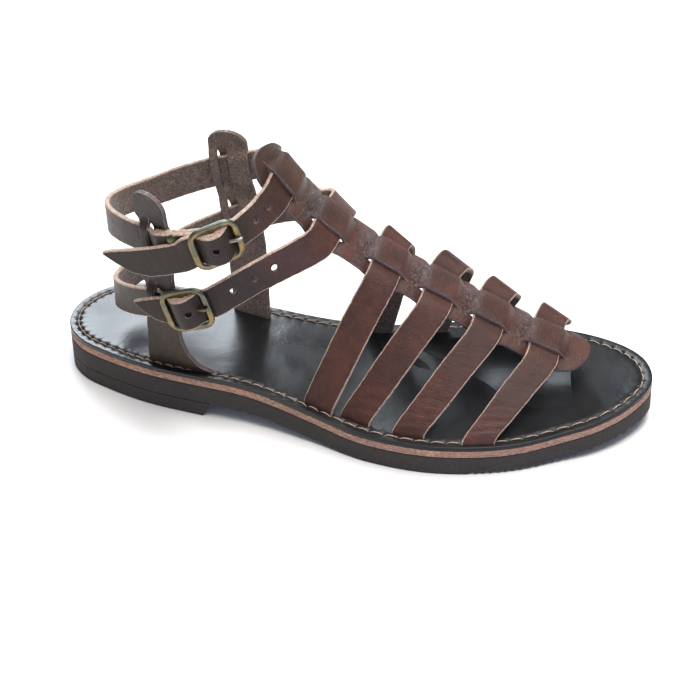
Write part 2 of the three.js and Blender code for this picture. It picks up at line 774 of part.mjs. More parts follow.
// Stays: a rear margin, a narrow band and a front margin, slotted twice
function stayStrips(table, slots, outward) {
  const sign = outward;
  const foot = footRows(table[0].along, table[0].side, sign);
  const rows = table.map((entry) => ({
    point: place(entry),
    width: entry.width,
    turn: THREE.MathUtils.degToRad(entry.turn),
  }));
  const upright = foot.high.clone().sub(foot.low);
  const spread = rows[0].width;
  const footTurn = rows[0].turn;
  rows[0].point = foot.high.clone();
  rows.unshift({ point: foot.low.clone(), width: spread, turn: footTurn });
  const curve = curveThrough(rows.map((entry) => entry.point));
  const spans = rows.length - 1;
  const heights = slots.map((up) => up * upperHeight);
  const tip = rows[spans].point.z;
  const stations = [];
  for (let i = 0; i < spans; i += 1) {
    const length = rows[i].point.distanceTo(rows[i + 1].point);
    const count = Math.max(1, Math.round(length / 4.2));
    for (let k = 0; k < count; k += 1) {
      stations.push(i + k / count);
    }
  }
  for (const cut of [0.45, 0.7, 0.88, 0.97, 1]) {
    stations.push(spans - 1 + cut);
  }
  stations.sort((a, b) => a - b);
  const frame = (station) => {
    const i = Math.min(Math.floor(station), spans - 1);
    const share = station - i;
    const mix = (name) => rows[i][name] + (rows[i + 1][name] - rows[i][name]) * share;
    const inFoot = station <= 1;
    const point = inFoot
      ? foot.low.clone().addScaledVector(upright, station)
      : curve.getPoint(station / spans);
    const tangent = inFoot
      ? upright.clone().normalize()
      : curve.getTangent(station / spans);
    const turn = mix('turn');
    const aim = new THREE.Vector3(Math.cos(turn), Math.sin(turn), 0);
    const facing = new THREE.Vector3().crossVectors(tangent, aim).normalize();
    facing.multiplyScalar(sign);
    const share2 = Math.max(1 - (tip - point.z) / 6.5, 0);
    const width = mix('width') * Math.sqrt(Math.max(1 - share2 ** 2.4, 0.004));
    const bump = heights.reduce((sum, z) => Math.max(sum, slotBump(point.z - z)), 0);
    return { point, aim, facing, width, full: mix('width'), bump };
  };
  const strip = (lowAt, highAt, lift) => stripOf(stations, (station) => {
    const f = frame(station);
    const half = f.width / 2;
    const low = Math.max(lowAt(f), -half);
    const high = Math.min(highAt(f), half);
    return [low, Math.max(high, low)].map((edge) => ({
      point: f.point.clone().addScaledVector(f.aim, edge)
        .addScaledVector(f.facing, lift * f.bump),
      facing: f.facing,
    }));
  }, lift > 0 ? leather : marginLeather);
  const first = stayRearMargin;
  const second = stayRearMargin + stayBand;
  const neck = 18.4;
  const slotA = first - neck / 2;
  const slotB = second - neck / 2;
  return {
    bodies: [
      strip((f) => -f.full / 2, () => slotA + 0.1, -marginDrop),
      strip(() => slotA - 0.1, () => slotB + 0.1, bandRise),
      strip(() => slotB - 0.1, (f) => f.full / 2, -marginDrop),
    ],
    cutter: slotCutter({ aim: aimOf(footTurn), slot: foot.slot }, spread),
    upright,
  };
}

function aimOf(turn) {
  return new THREE.Vector3(Math.cos(turn), Math.sin(turn), 0);
}

// Local frame of a buckle: ahead along the strap, wide across it, out of the leg
function buckleFrame(buckle) {
  const heading = THREE.MathUtils.degToRad(buckle.heading);
  const rise = THREE.MathUtils.degToRad(buckle.rise);
  const ahead = new THREE.Vector3(
    Math.cos(rise) * Math.cos(heading),
    Math.cos(rise) * Math.sin(heading),
    Math.sin(rise),
  );
  const out = new THREE.Vector3(Math.sin(heading), -Math.cos(heading), 0);
  const wide = new THREE.Vector3().crossVectors(out, ahead).normalize();
  return { origin: place(buckle), ahead, wide, out };
}

function localRows(frame, table) {
  return table.map((entry) => row(
    frame.origin.clone()
      .addScaledVector(frame.ahead, entry.ahead)
      .addScaledVector(frame.out, entry.out),
    frame.wide.clone(),
  ));
}

function leanAim(entry, tangent) {
  const lean = THREE.MathUtils.degToRad(entry.lean);
  const flare = THREE.MathUtils.degToRad(entry.flare);
  const aim = new THREE.Vector3(-Math.sin(lean), 0, Math.cos(lean));
  const out = new THREE.Vector3(0, 0, 1).cross(tangent);
  out.z = 0;
  out.normalize();
  return aim.addScaledVector(out, Math.tan(flare)).normalize();
}

function loopRows(table) {
  const points = table.map(place);
  const curve = curveThrough(points);
  return table.map((entry, i) => {
    const tangent = curve.getTangent(i / (table.length - 1));
    return row(points[i], leanAim(entry, tangent), {
      low: entry.low ?? -1,
      high: entry.high ?? 1,
    });
  });
}

function ankleStrap(buckle, loop, tail) {
  const frame = buckleFrame(buckle);
  const rows = [
    ...localRows(frame, foldLine),
    ...loopRows(loop),
    ...localRows(frame, threadLine),
    ...loopRows(tail),
  ];
  return ribbon(rows, ankleWidth, 6, true);
}

// Frame of a centre bar buckle: a rounded plate with two windows
function roundedPath(target, x0, x1, y0, y1, radius) {
  target.moveTo(x0 + radius, y0);
  target.lineTo(x1 - radius, y0);
  target.absarc(x1 - radius, y0 + radius, radius, -Math.PI / 2, 0, false);
  target.lineTo(x1, y1 - radius);
  target.absarc(x1 - radius, y1 - radius, radius, 0, Math.PI / 2, false);
  target.lineTo(x0 + radius, y1);
  target.absarc(x0 + radius, y1 - radius, radius, Math.PI / 2, Math.PI, false);
  target.lineTo(x0, y0 + radius);
  target.absarc(x0 + radius, y0 + radius, radius, Math.PI, Math.PI * 1.5, false);
  return target;
}

function frameGeometry(grow) {
  const bevel = 0.65;
  const x = buckleLength / 2 - bevel + grow;
  const y = buckleWidth / 2 - bevel + grow;
  const plate = roundedPath(new THREE.Shape(), -x, x, -y, y, 2.6);
  const inX = buckleLength / 2 - barWidth + bevel - grow;
  const inY = buckleWidth / 2 - barWidth + bevel - grow;
  const centre = barWidth / 2 - bevel + grow;
  plate.holes.push(roundedPath(new THREE.Path(), -inX, -centre, -inY, inY, 1.4));
  plate.holes.push(roundedPath(new THREE.Path(), centre, inX, -inY, inY, 1.4));
  const geometry = new THREE.ExtrudeGeometry(plate, {
    depth: barWidth - 2 * bevel + 2 * grow,
    bevelEnabled: true,
    bevelThickness: bevel,
    bevelSize: bevel,
    bevelSegments: 1,
    curveSegments: 3,
  });
  geometry.translate(0, 0, -barWidth / 2 + bevel - grow);
  return closed(geometry);
}

// Prong: an eye on the centre bar and an arm that rests on the front bar.
// Grow makes the same form larger, to cut its clearance in the strap.
function prongGeometry(grow, solidEye) {
  const eye = barWidth / 2 + gap + 0.95 + grow;
  const half = prongThickness / 2 + grow;
  const front = (buckleLength - barWidth) / 2;
  const rest = barWidth / 2 + gap + prongThickness / 2;
  const arm = [
    { ahead: eye * 0.8, out: 0.3 },
    { ahead: 4.6, out: 0.7 },
    { ahead: front - 1.2, out: rest },
    { ahead: front + 1.9 + grow, out: rest + 0.1 },
  ];
  const shape = new THREE.Shape();
  const start = Math.asin(Math.min((half + 0.3) / eye, 1));
  shape.absarc(0, 0, eye, start, Math.PI * 2 - start * 0.5, false);
  for (const point of arm) {
    shape.lineTo(point.ahead, point.out - half);
  }
  for (const point of [...arm].reverse()) {
    shape.lineTo(point.ahead, point.out + half);
  }
  if (!solidEye) {
    const hole = new THREE.Path();
    hole.absarc(0, 0, barWidth / 2 + gap, 0, Math.PI * 2, true);
    shape.holes.push(hole);
  }
  const width = prongWidth + 2 * grow;
  const geometry = new THREE.ExtrudeGeometry(shape, {
    depth: width,
    bevelEnabled: false,
    curveSegments: 9,
  });
  geometry.translate(0, 0, -width / 2);
  return closed(geometry);
}

function plateMatrix(frame) {
  const matrix = new THREE.Matrix4().makeBasis(frame.ahead, frame.wide, frame.out);
  return matrix.setPosition(frame.origin);
}

function prongMatrix(frame) {
  const across = frame.wide.clone().negate();
  const matrix = new THREE.Matrix4().makeBasis(frame.ahead, frame.out, across);
  return matrix.setPosition(frame.origin);
}

function drill(point, axis, diameter, depth) {
  const geometry = new THREE.CylinderGeometry(diameter / 2, diameter / 2, depth, 9);
  const turn = new THREE.Quaternion().setFromUnitVectors(new THREE.Vector3(0, 1, 0), axis);
  geometry.applyQuaternion(turn);
  geometry.translate(point.x, point.y, point.z);
  return geometry;
}

// Everything of the upper is joined where the straps cross
const frames = {
  upper: buckleFrame(buckles.upper),
  lower: buckleFrame(buckles.lower),
};
const straps = crossStraps.map(crossStrap);
const stays = [
  stayStrips(outerStay, outerStaySlots, -1),
  stayStrips(innerStay, innerStaySlots, 1),
];
const upperParts = [
  ...spineStrips(),
  ...straps.map((strap) => strap.body),
  ...stays.flatMap((stay) => stay.bodies),
  ankleStrap(buckles.upper, upperLoop, upperTail),
  ankleStrap(buckles.lower, lowerLoop, lowerTail),
];

function holeAxis(loop, hole) {
  const curve = curveThrough(loop.map(place));
  const target = place(hole);
  let best = 0;
  for (let t = 0; t <= 1; t += 0.002) {
    if (curve.getPoint(t).distanceTo(target) < curve.getPoint(best).distanceTo(target)) {
      best = t;
    }
  }
  const tangent = curve.getTangent(best);
  const aim = new THREE.Vector3(-0.35, 0, 0.94);
  aim.addScaledVector(tangent, -aim.dot(tangent)).normalize();
  return {
    point: curve.getPoint(best),
    axis: new THREE.Vector3().crossVectors(aim, tangent).normalize(),
  };
}

function upper() {
  let body = solid(upperParts[0]);
  for (const part of upperParts.slice(1)) {
    body = body.add(solid(part));
  }
  for (const frame of Object.values(frames)) {
    const clearance = prongGeometry(gap + 0.05, true);
    clearance.applyMatrix4(prongMatrix(frame));
    body = body.subtract(solid(clearance));
    const seat = frameGeometry(gap);
    seat.applyMatrix4(plateMatrix(frame));
    body = body.subtract(solid(seat));
  }
  const drills = [
    ...upperHoles.map((hole) => holeAxis(upperLoop, hole)),
    ...lowerHoles.map((hole) => holeAxis(lowerLoop, hole)),
  ];
  for (const hole of drills) {
    body = body.subtract(solid(drill(hole.point, hole.axis, holeDiameter, 7)));
  }
  return withoutPockets(backToGeometry(body));
}

// The insole has a slot for every strap foot
function insole() {
  let body = solid(soleLayer(
    endStations(48),
    (along) => groundLine(along) + insoleBottom,
    (along) => groundLine(along) + insoleTop,
  ));
  const cutters = [
    ...straps.flatMap((strap) => strap.cutters),
    ...stays.map((stay) => stay.cutter),
  ];
  for (const cutter of cutters) {
    body = body.subtract(solid(cutter));
  }
  return backToGeometry(body);
}

const rubber = { color: 0x453c3c, roughness: 0.85, metalness: 0 };
const rawEdge = { color: 0x9a6f5e, roughness: 0.9, metalness: 0 };
const lining = { color: 0x3c3f45, roughness: 0.5, metalness: 0 };
const strapLeather = { color: 0x553a33, roughness: 0.5, metalness: 0 };
const brass = { color: 0x8b7a4e, roughness: 0.4, metalness: 1 };

function piece(name, geometry, look) {
  const flat = geometry.index ? geometry.toNonIndexed() : geometry;
  flat.computeVertexNormals();
  const mesh = new THREE.Mesh(flat, new THREE.MeshStandardMaterial(look));
  mesh.name = name;
  return mesh;
}

const sandal = new THREE.Group();
sandal.add(piece('outsole', outsole(), rubber));
sandal.add(piece('heel', heel(), rubber));
sandal.add(piece('midsole', midsole(), rawEdge));
sandal.add(piece('insole', insole(), lining));
sandal.add(piece('upper', upper(), strapLeather));

for (const [name, frame] of Object.entries(frames)) {
  const holder = new THREE.Group();
  plateMatrix(frame).decompose(holder.position, holder.quaternion, holder.scale);
  holder.add(piece(`buckle_${name}_frame`, frameGeometry(0), brass));
  sandal.add(holder);
  const pivot = new THREE.Group();
  prongMatrix(frame).decompose(pivot.position, pivot.quaternion, pivot.scale);
  pivot.add(piece(`buckle_${name}_prong`, prongGeometry(0, false), brass));
  sandal.add(pivot);
}

export default sandal;
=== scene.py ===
import math

import bmesh
import bpy
import numpy as np
from mathutils import Matrix, Vector, noise


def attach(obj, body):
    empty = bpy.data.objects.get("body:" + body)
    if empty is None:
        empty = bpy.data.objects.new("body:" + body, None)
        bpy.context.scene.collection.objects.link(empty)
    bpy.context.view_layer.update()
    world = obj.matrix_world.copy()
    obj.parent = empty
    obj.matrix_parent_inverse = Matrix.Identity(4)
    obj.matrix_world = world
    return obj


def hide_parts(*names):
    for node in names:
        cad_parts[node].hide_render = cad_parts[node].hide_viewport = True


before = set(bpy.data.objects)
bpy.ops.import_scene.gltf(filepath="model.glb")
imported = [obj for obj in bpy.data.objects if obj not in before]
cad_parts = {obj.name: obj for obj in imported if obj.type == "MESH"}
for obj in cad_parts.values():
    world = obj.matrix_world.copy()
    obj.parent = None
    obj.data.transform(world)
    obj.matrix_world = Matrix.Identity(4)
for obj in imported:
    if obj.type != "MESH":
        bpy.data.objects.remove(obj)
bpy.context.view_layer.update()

MM = 0.001

# Sizes of the sandal as in the solids, in millimetres. Starts and ends are shares of its length
SOLE_LENGTH = 263.5
SOLE_WIDTH = 99.5
HEEL_RISE = 7.1
HEEL_FRONT = 0.292
HEEL_SLANT = 4.3
SHANK_START = 0.295
SHANK_END = 0.5765
SPRING_START = 0.7776
TOE_SPRING = 6.2
OUTSOLE_TOP = 8.7
MIDSOLE_BOTTOM = 9.0
MIDSOLE_TOP = 12.2
INSOLE_BOTTOM = 12.5
INSOLE_TOP = 14.1
TREAD_START = 0.74
TREAD_PITCH = 3.0
UPPER_HEIGHT = 120.0
LEATHER = 2.2
SPINE_WIDTH = 29.0
SPINE_BAND = 16.0
SPINE_CROWN = 37.0
CROSS_WIDTH = 14.2
ANKLE_WIDTH = 14.0
BAND_RISE = 2.6
MARGIN_DROP = 1.4
STRAP_LIFT = 0.6
STAY_BAND = 4.8
STAY_NECK = 18.4
HOLE_DIAMETER = 3.2
BUCKLE_LENGTH = 21.0
BUCKLE_WIDTH = 19.6
BAR = 2.3

# Sizes of the finer shapes, which the scene has for itself
TREAD_DEPTH = 1.6
TIP_TURN = 0.33
SLOT_REACH = 10.6
SLOT_FLAT = 5.6
STAY_REAR_MARGIN = 4.0
WIRE_ROUND = 0.4
STITCH_INSET = 4.0
THREAD = 0.66
STITCH_SINK = 0.42
FOOT_HEIGHT = 2.6
RIVET_DIAMETER = 5.2

# Fineness of the meshes: distance between stations in millimetres and cells across a strap
SPINE_STEP = 1.05
CROSS_STEP = 1.1
ANKLE_STEP = 0.95
STRAP_CELLS = 12
BAND_CELLS = 5

# Outline of the sole from heel to toe: share of the length, share of the width
LATERAL_EDGE = [
    (0.012, -0.096), (0.046, -0.189), (0.098, -0.249), (0.174, -0.305), (0.275, -0.337),
    (0.374, -0.356), (0.472, -0.410), (0.571, -0.481), (0.665, -0.498), (0.748, -0.459),
    (0.815, -0.391), (0.876, -0.292), (0.932, -0.193), (0.975, -0.067),
]
MEDIAL_EDGE = [
    (0.011, 0.153), (0.044, 0.264), (0.115, 0.324), (0.214, 0.309), (0.314, 0.267),
    (0.416, 0.273), (0.518, 0.331), (0.619, 0.422), (0.708, 0.488), (0.798, 0.499),
    (0.879, 0.464), (0.945, 0.374), (0.984, 0.256),
]
HEEL_END = (0.0, 0.029)
TOE_END = (1.0, 0.095)

# Centre line of the spine: share along, to the side and up
SPINE_LINE = [
    (0.363, 0.029, 0.992), (0.384, 0.031, 0.917), (0.411, 0.033, 0.842), (0.441, 0.037, 0.772),
    (0.471, 0.041, 0.713), (0.506, 0.046, 0.658), (0.547, 0.051, 0.600), (0.593, 0.058, 0.543),
    (0.657, 0.066, 0.473), (0.733, 0.077, 0.392), (0.809, 0.087, 0.315), (0.858, 0.094, 0.275),
    (0.895, 0.099, 0.257),
]
SPINE_SLOTS = [0.397, 0.469, 0.564, 0.649, 0.732, 0.824]

# Straps across the foot: slot, outer foot, inner foot and shoulder as along and side, bulge
CROSS_STRAPS = [
    (2, (0.482, -0.362), (0.519, 0.270), (0.564, 0.275), 3.0),
    (3, (0.548, -0.393), (0.612, 0.340), (0.658, 0.335), 3.0),
    (4, (0.640, -0.437), (0.699, 0.406), (0.739, 0.340), 3.0),
    (5, (0.753, -0.423), (0.790, 0.426), (0.825, 0.355), 2.5),
]

# Ankle straps: along, side, up, lean and flare in degrees
UPPER_LOOP = [
    (0.208, -0.322, 0.736, 4, 5), (0.183, -0.288, 0.726, 4, 4), (0.146, -0.226, 0.713, 2, 3),
    (0.118, -0.152, 0.697, 0, 2), (0.099, -0.062, 0.675, 0, 1), (0.093, 0.029, 0.657, 0, 1),
    (0.102, 0.119, 0.647, 0, 0), (0.128, 0.192, 0.649, 4, -1), (0.158, 0.233, 0.667, 10, -2),
    (0.187, 0.255, 0.692, 15, -2), (0.228, 0.271, 0.726, 17, -2), (0.273, 0.275, 0.760, 18, -2),
    (0.327, 0.270, 0.798, 20, -1), (0.365, 0.235, 0.830, 26, 1), (0.386, 0.164, 0.856, 33, 0),
    (0.396, 0.089, 0.874, 38, 0), (0.398, 0.019, 0.881, 38, 0), (0.397, -0.052, 0.875, 36, 0),
    (0.394, -0.117, 0.859, 32, 0), (0.385, -0.172, 0.841, 26, 2), (0.375, -0.238, 0.828, 20, 4),
    (0.364, -0.293, 0.819, 14, 4),
]
LOWER_LOOP = [
    (0.220, -0.343, 0.482, 4, 3), (0.191, -0.303, 0.457, 3, 3), (0.158, -0.243, 0.422, 0, 2),
    (0.125, -0.162, 0.384, -1, 2), (0.101, -0.072, 0.352, -2, 1), (0.093, 0.009, 0.333, -2, 1),
    (0.098, 0.089, 0.332, 0, 0), (0.117, 0.149, 0.355, 5, -1), (0.145, 0.189, 0.388, 11, -2),
    (0.182, 0.223, 0.432, 18, -2), (0.222, 0.248, 0.480, 22, -2), (0.257, 0.262, 0.520, 24, -2),
    (0.289, 0.270, 0.557, 24, -1), (0.342, 0.283, 0.602, 24, 2), (0.388, 0.293, 0.626, 26, -1),
    (0.434, 0.296, 0.652, 34, 0), (0.463, 0.272, 0.676, 43, 0), (0.472, 0.174, 0.705, 49, 0),
    (0.471, 0.049, 0.721, 50, 0), (0.470, -0.047, 0.715, 48, 0), (0.464, -0.117, 0.697, 43, 0),
    (0.440, -0.175, 0.672, 34, 1), (0.408, -0.238, 0.645, 28, 2), (0.377, -0.303, 0.619, 22, 3),
    (0.345, -0.356, 0.582, 20, 2),
]

# Free ends: along, side, up, lean, flare, then the low and high edge as shares
UPPER_TAIL = [
    (0.283, -0.428, 0.748, 0, 3, -1, 1), (0.252, -0.423, 0.718, 0, 3, -1, 1),
    (0.213, -0.413, 0.689, 0, 3, -1, 1), (0.183, -0.404, 0.670, 0, 3, -0.6, 1),
    (0.160, -0.396, 0.656, 0, 3, 0.15, 1), (0.145, -0.392, 0.647, 0, 3, 0.75, 0.95),
]
LOWER_TAIL = [
    (0.236, -0.392, 0.485, 6, 0, -1, 1), (0.215, -0.394, 0.472, 6, 0, -0.5, 1),
    (0.200, -0.395, 0.463, 6, 0, 0.2, 1), (0.189, -0.396, 0.457, 6, 0, 0.8, 0.95),
]

# Stays beside the ankle: along, side, up, width and turn in degrees
OUTER_STAY = [
    (0.237, -0.277, 0.182, 31.0, -8), (0.228, -0.284, 0.206, 25.5, -10),
    (0.220, -0.294, 0.262, 20.0, -13), (0.218, -0.306, 0.325, 17.9, -17),
    (0.219, -0.319, 0.390, 17.7, -20), (0.221, -0.340, 0.480, 18.0, -24),
    (0.219, -0.336, 0.600, 18.4, -27), (0.218, -0.328, 0.740, 18.9, -28),
    (0.216, -0.339, 0.842, 18.7, -28), (0.214, -0.353, 0.936, 18.4, -28),
]
INNER_STAY = [
    (0.305, 0.192, 0.182, 18.5, -12), (0.304, 0.199, 0.206, 18.0, -10),
    (0.302, 0.212, 0.250, 17.6, -5), (0.298, 0.233, 0.350, 17.5, 0),
    (0.294, 0.253, 0.467, 17.5, 3), (0.289, 0.264, 0.557, 17.6, 3),
    (0.279, 0.269, 0.667, 17.8, 3), (0.273, 0.269, 0.760, 18.0, 2),
    (0.269, 0.272, 0.842, 18.0, 0), (0.268, 0.270, 0.915, 18.0, 0),
]
OUTER_STAY_SLOTS = (0.480, 0.741)
INNER_STAY_SLOTS = (0.557, 0.760)

# Buckles: place of the centre bar, heading about Z and rise of the front, in degrees
BUCKLES = {
    "upper": (0.331, -0.404, 0.793, 31, 14.5),
    "lower": (0.276, -0.417, 0.514, 0, 18),
}
# Way of the fold round the bar of each buckle, and of the free end through it, both as
# distances ahead of the bar and out of the leg
FOLD_LINES = {
    "upper": [
        (-21, -16.4), (-15, -11.6), (-9.4, -7.6), (-5.4, -5.6), (-2.2, -3.6), (0, -2.55),
        (1.8, -1.8), (2.55, 0), (1.8, 1.8), (0, 2.5), (-2.4, 1.3), (-5.2, -2.2), (-9.4, -5.3),
        (-15, -9.3), (-21, -14.1),
    ],
    "lower": [
        (-14, -9.0), (-9.4, -7.2), (-5.4, -5.6), (-2.2, -3.6), (0, -2.55), (1.8, -1.8), (2.55, 0),
        (1.8, 1.8), (0, 2.5), (-2.4, 1.3), (-5.2, -1.8), (-9.4, -4.9), (-12.6, -6.3),
    ],
}
THREAD_LINE = [
    (10.3, -2.9), (8, -2.5), (5.1, 0.6), (2.7, 3.8), (0, 4.6), (-2.8, 3.7), (-5.4, 0.5),
    (-8, -2.5), (-10.3, -3.1),
]

# Holes in the loops as places, and the hole that shows in each buckle, ahead of its bar
UPPER_HOLES = [(0.386, -0.166, 0.845), (0.375, -0.243, 0.827)]
LOWER_HOLES = [(0.403, -0.243, 0.642), (0.377, -0.303, 0.619), (0.347, -0.353, 0.585)]
WINDOW_HOLES = {"upper": -1.2, "lower": 2.2}
# Distance along an ankle strap past which its holes lie, clear of the fold
FOLD_END = 100
RIVET_PLACE = (0.2625, -0.419, 0.798)

# Zones of a strap, which are also its material places
GRAIN, FLESH, EDGE = 0, 1, 2


def place(along, side, up=0.0):
    return np.array([(along - 0.5) * SOLE_LENGTH, side * SOLE_WIDTH, up * UPPER_HEIGHT])


def unit(v):
    return v / np.linalg.norm(v)


def smooth(t):
    c = np.clip(t, 0.0, 1.0)
    return c * c * (3 - 2 * c)


def ripple(x, y, z):
    """Soft noise between about -1 and 1 at a point given in millimetres times a scale."""
    return noise.noise(Vector((x, y, z)))


def arc_lengths(points):
    """Distance along a chain of points, one for each point."""
    return np.concatenate([[0], np.cumsum(np.linalg.norm(np.diff(points, axis=0), axis=1))])


class Curve:
    """Centripetal curve through points, read by a share from 0 to 1."""

    def __init__(self, points, closed=False):
        p = np.array(points, float)
        ends = (p[-1:], p[:2]) if closed else ([2 * p[0] - p[1]], [2 * p[-1] - p[-2]])
        self.p = np.vstack([ends[0], p, ends[1]])
        self.spans = len(self.p) - 3

    def point(self, t):
        i = min(int(self.spans * t), self.spans - 1)
        w = self.spans * t - i
        a, b, c, d = self.p[i:i + 4]
        d0 = max(np.linalg.norm(b - a), 1e-8) ** 0.5
        d1 = max(np.linalg.norm(c - b), 1e-8) ** 0.5
        d2 = max(np.linalg.norm(d - c), 1e-8) ** 0.5
        t1 = ((b - a) / d0 - (c - a) / (d0 + d1) + (c - b) / d1) * d1
        t2 = ((c - b) / d1 - (d - b) / (d1 + d2) + (d - c) / d2) * d1
        square = (-3 * b + 3 * c - 2 * t1 - t2) * w**2
        return b + t1 * w + square + (2 * b - 2 * c + t1 + t2) * w**3

    def tangent(self, t):
        step = 1e-4
        return unit(self.point(min(t + step, 1)) - self.point(max(t - step, 0)))


def ground(along):
    """Height of the underside of the sole above the floor."""
    drop = smooth((along - SHANK_START) / (SHANK_END - SHANK_START))
    tip = np.maximum((along - SPRING_START) / (1 - SPRING_START), 0)
    return HEEL_RISE * (1 - drop) + TOE_SPRING * tip * tip


def outline_points(count):
    """Points round the sole, spaced evenly and scaled to its named length and width."""
    rows = [HEEL_END, *LATERAL_EDGE, TOE_END, *reversed(MEDIAL_EDGE)]
    curve = Curve([place(*row)[:2] for row in rows], closed=True)
    dense = np.array([curve.point(i / 3000) for i in range(3001)])
    dense -= (dense.min(0) + dense.max(0)) / 2
    dense *= np.array([SOLE_LENGTH, SOLE_WIDTH]) / np.ptp(dense, axis=0)
    length = arc_lengths(dense)
    even = np.linspace(0, length[-1], count, endpoint=False)
    return np.stack([np.interp(even, length, dense[:, k]) for k in range(2)], axis=1), length[-1]


OUTLINE, OUTLINE_LENGTH = outline_points(1100)


def sole_edges(along):
    x = (along - 0.5) * SOLE_LENGTH
    a = OUTLINE
    b = np.roll(OUTLINE, -1, axis=0)
    hit = (a[:, 0] - x) * (b[:, 0] - x) <= 0
    hit &= np.abs(a[:, 0] - b[:, 0]) > 1e-9
    y = a[hit, 1] + (b[hit, 1] - a[hit, 1]) * (x - a[hit, 0]) / (b[hit, 0] - a[hit, 0])
    return y.min(), y.max()


def new_mesh(name, points, faces):
    """Mesh from points in millimetres."""
    mesh = bpy.data.meshes.new(name)
    mesh.from_pydata((np.asarray(points) * MM).tolist(), [], faces)
    return mesh


def add_object(mesh, looks, zones=None, smooth=True, merge=True):
    """Dresses a mesh and adds its object. Shared points are merged, empty faces dropped and
    all faces turned outward."""
    mesh.materials.clear()
    for look in looks:
        mesh.materials.append(look)
    if zones:
        mesh.polygons.foreach_set("material_index", zones)
    mesh.polygons.foreach_set("use_smooth", [smooth] * len(mesh.polygons))
    mesh.update()
    obj = bpy.data.objects.new(mesh.name, mesh)
    bpy.context.scene.collection.objects.link(obj)
    if merge:
        bm = bmesh.new()
        bm.from_mesh(mesh)
        bmesh.ops.remove_doubles(bm, verts=bm.verts, dist=2e-6)
        bmesh.ops.dissolve_degenerate(bm, edges=bm.edges, dist=2e-6)
        bmesh.ops.recalc_face_normals(bm, faces=bm.faces)
        bm.to_mesh(mesh)
        bm.free()
    return obj


def bands(rings, size, start=0):
    """Faces between rings of points that follow one another."""
    faces = []
    for r in range(rings - 1):
        a, b = start + r * size, start + (r + 1) * size
        faces += [(a + k, a + (k + 1) % size, b + (k + 1) % size, b + k) for k in range(size)]
    return faces


def tube(rings, size, start=0):
    """Bands with a face on both ends."""
    last = start + (rings - 1) * size
    ends = [tuple(reversed(range(start, start + size))), tuple(range(last, last + size))]
    return bands(rings, size, start) + ends


class Sheet:
    """Collects points, faces, zones and the wear of a leather part, which also places painted sheen,
    then makes its mesh.
    """

    def __init__(self):
        self.points, self.faces, self.zones = [], [], []
        self.lay, self.dark, self.wear_and_sheen = [], [], []
        self.count = 0

    def add(self, points, run, w, h, seed, dark, wear_and_sheen=0.0):
        """Adds the points of one station. run, w and h are their places on the flat strap."""
        start = self.count
        self.points.append(np.asarray(points, float))
        self.lay.append(np.stack([np.full(len(w), run + seed * 40), w + seed * 7, h], axis=1))
        self.dark.append(np.zeros(len(w)) + dark)
        self.wear_and_sheen.append(np.zeros(len(w)) + wear_and_sheen)
        self.count += len(w)
        return start

    def punch(self, index, move):
        """Moves a point to the wall of a hole and darkens it, as painted shade inside the hole."""
        for points, dark in zip(self.points, self.dark):
            if index < len(points):
                points[index] += move
                # Painted shade: the hole wall takes the darkest edge colour.
                dark[index] = 1.0
                return
            index -= len(points)

    def face(self, corners, zone):
        self.faces.append(corners)
        self.zones.append(zone)

    def build(self, name):
        mesh = new_mesh(name, np.vstack(self.points), self.faces)
        for title, kind, key, blocks in (
                ("lay", "FLOAT_VECTOR", "vector", self.lay), ("dark", "FLOAT", "value", self.dark),
                ("wear_and_sheen", "FLOAT", "value", self.wear_and_sheen)):
            made = mesh.attributes.new(title, kind, "POINT")
            made.data.foreach_set(key, np.concatenate(blocks).astype(np.float32).ravel())
        return add_object(mesh, STRAP_LOOKS, zones=self.zones)


def section(low, high):
    """Cross-section of a strap with rounded corners: width, height and zone of the next face."""
    r = min(0.5, (high - low) * 0.42, LEATHER * 0.42)
    cell = (high - low - 2 * r) / STRAP_CELLS
    half = [(low + r + cell * k, LEATHER / 2, GRAIN) for k in range(STRAP_CELLS)]
    half.append((high - r, LEATHER / 2, EDGE))
    for turn, side in ((40, 1), (90, 1), (90, -1), (140, -1)):
        a = math.radians(turn)
        half.append((high - r + r * math.sin(a), side * (LEATHER / 2 - r) + r * math.cos(a), EDGE))
    return half + [(low + high - w, -h, FLESH if zone == GRAIN else EDGE) for w, h, zone in half]


def nicked(edge, slow, quick, seed, size):
    """Place of a hand-cut edge, with slow waves and small nicks."""
    return edge + 0.16 * ripple(slow[0], seed, slow[1]) + size * ripple(quick[0], seed, quick[1])


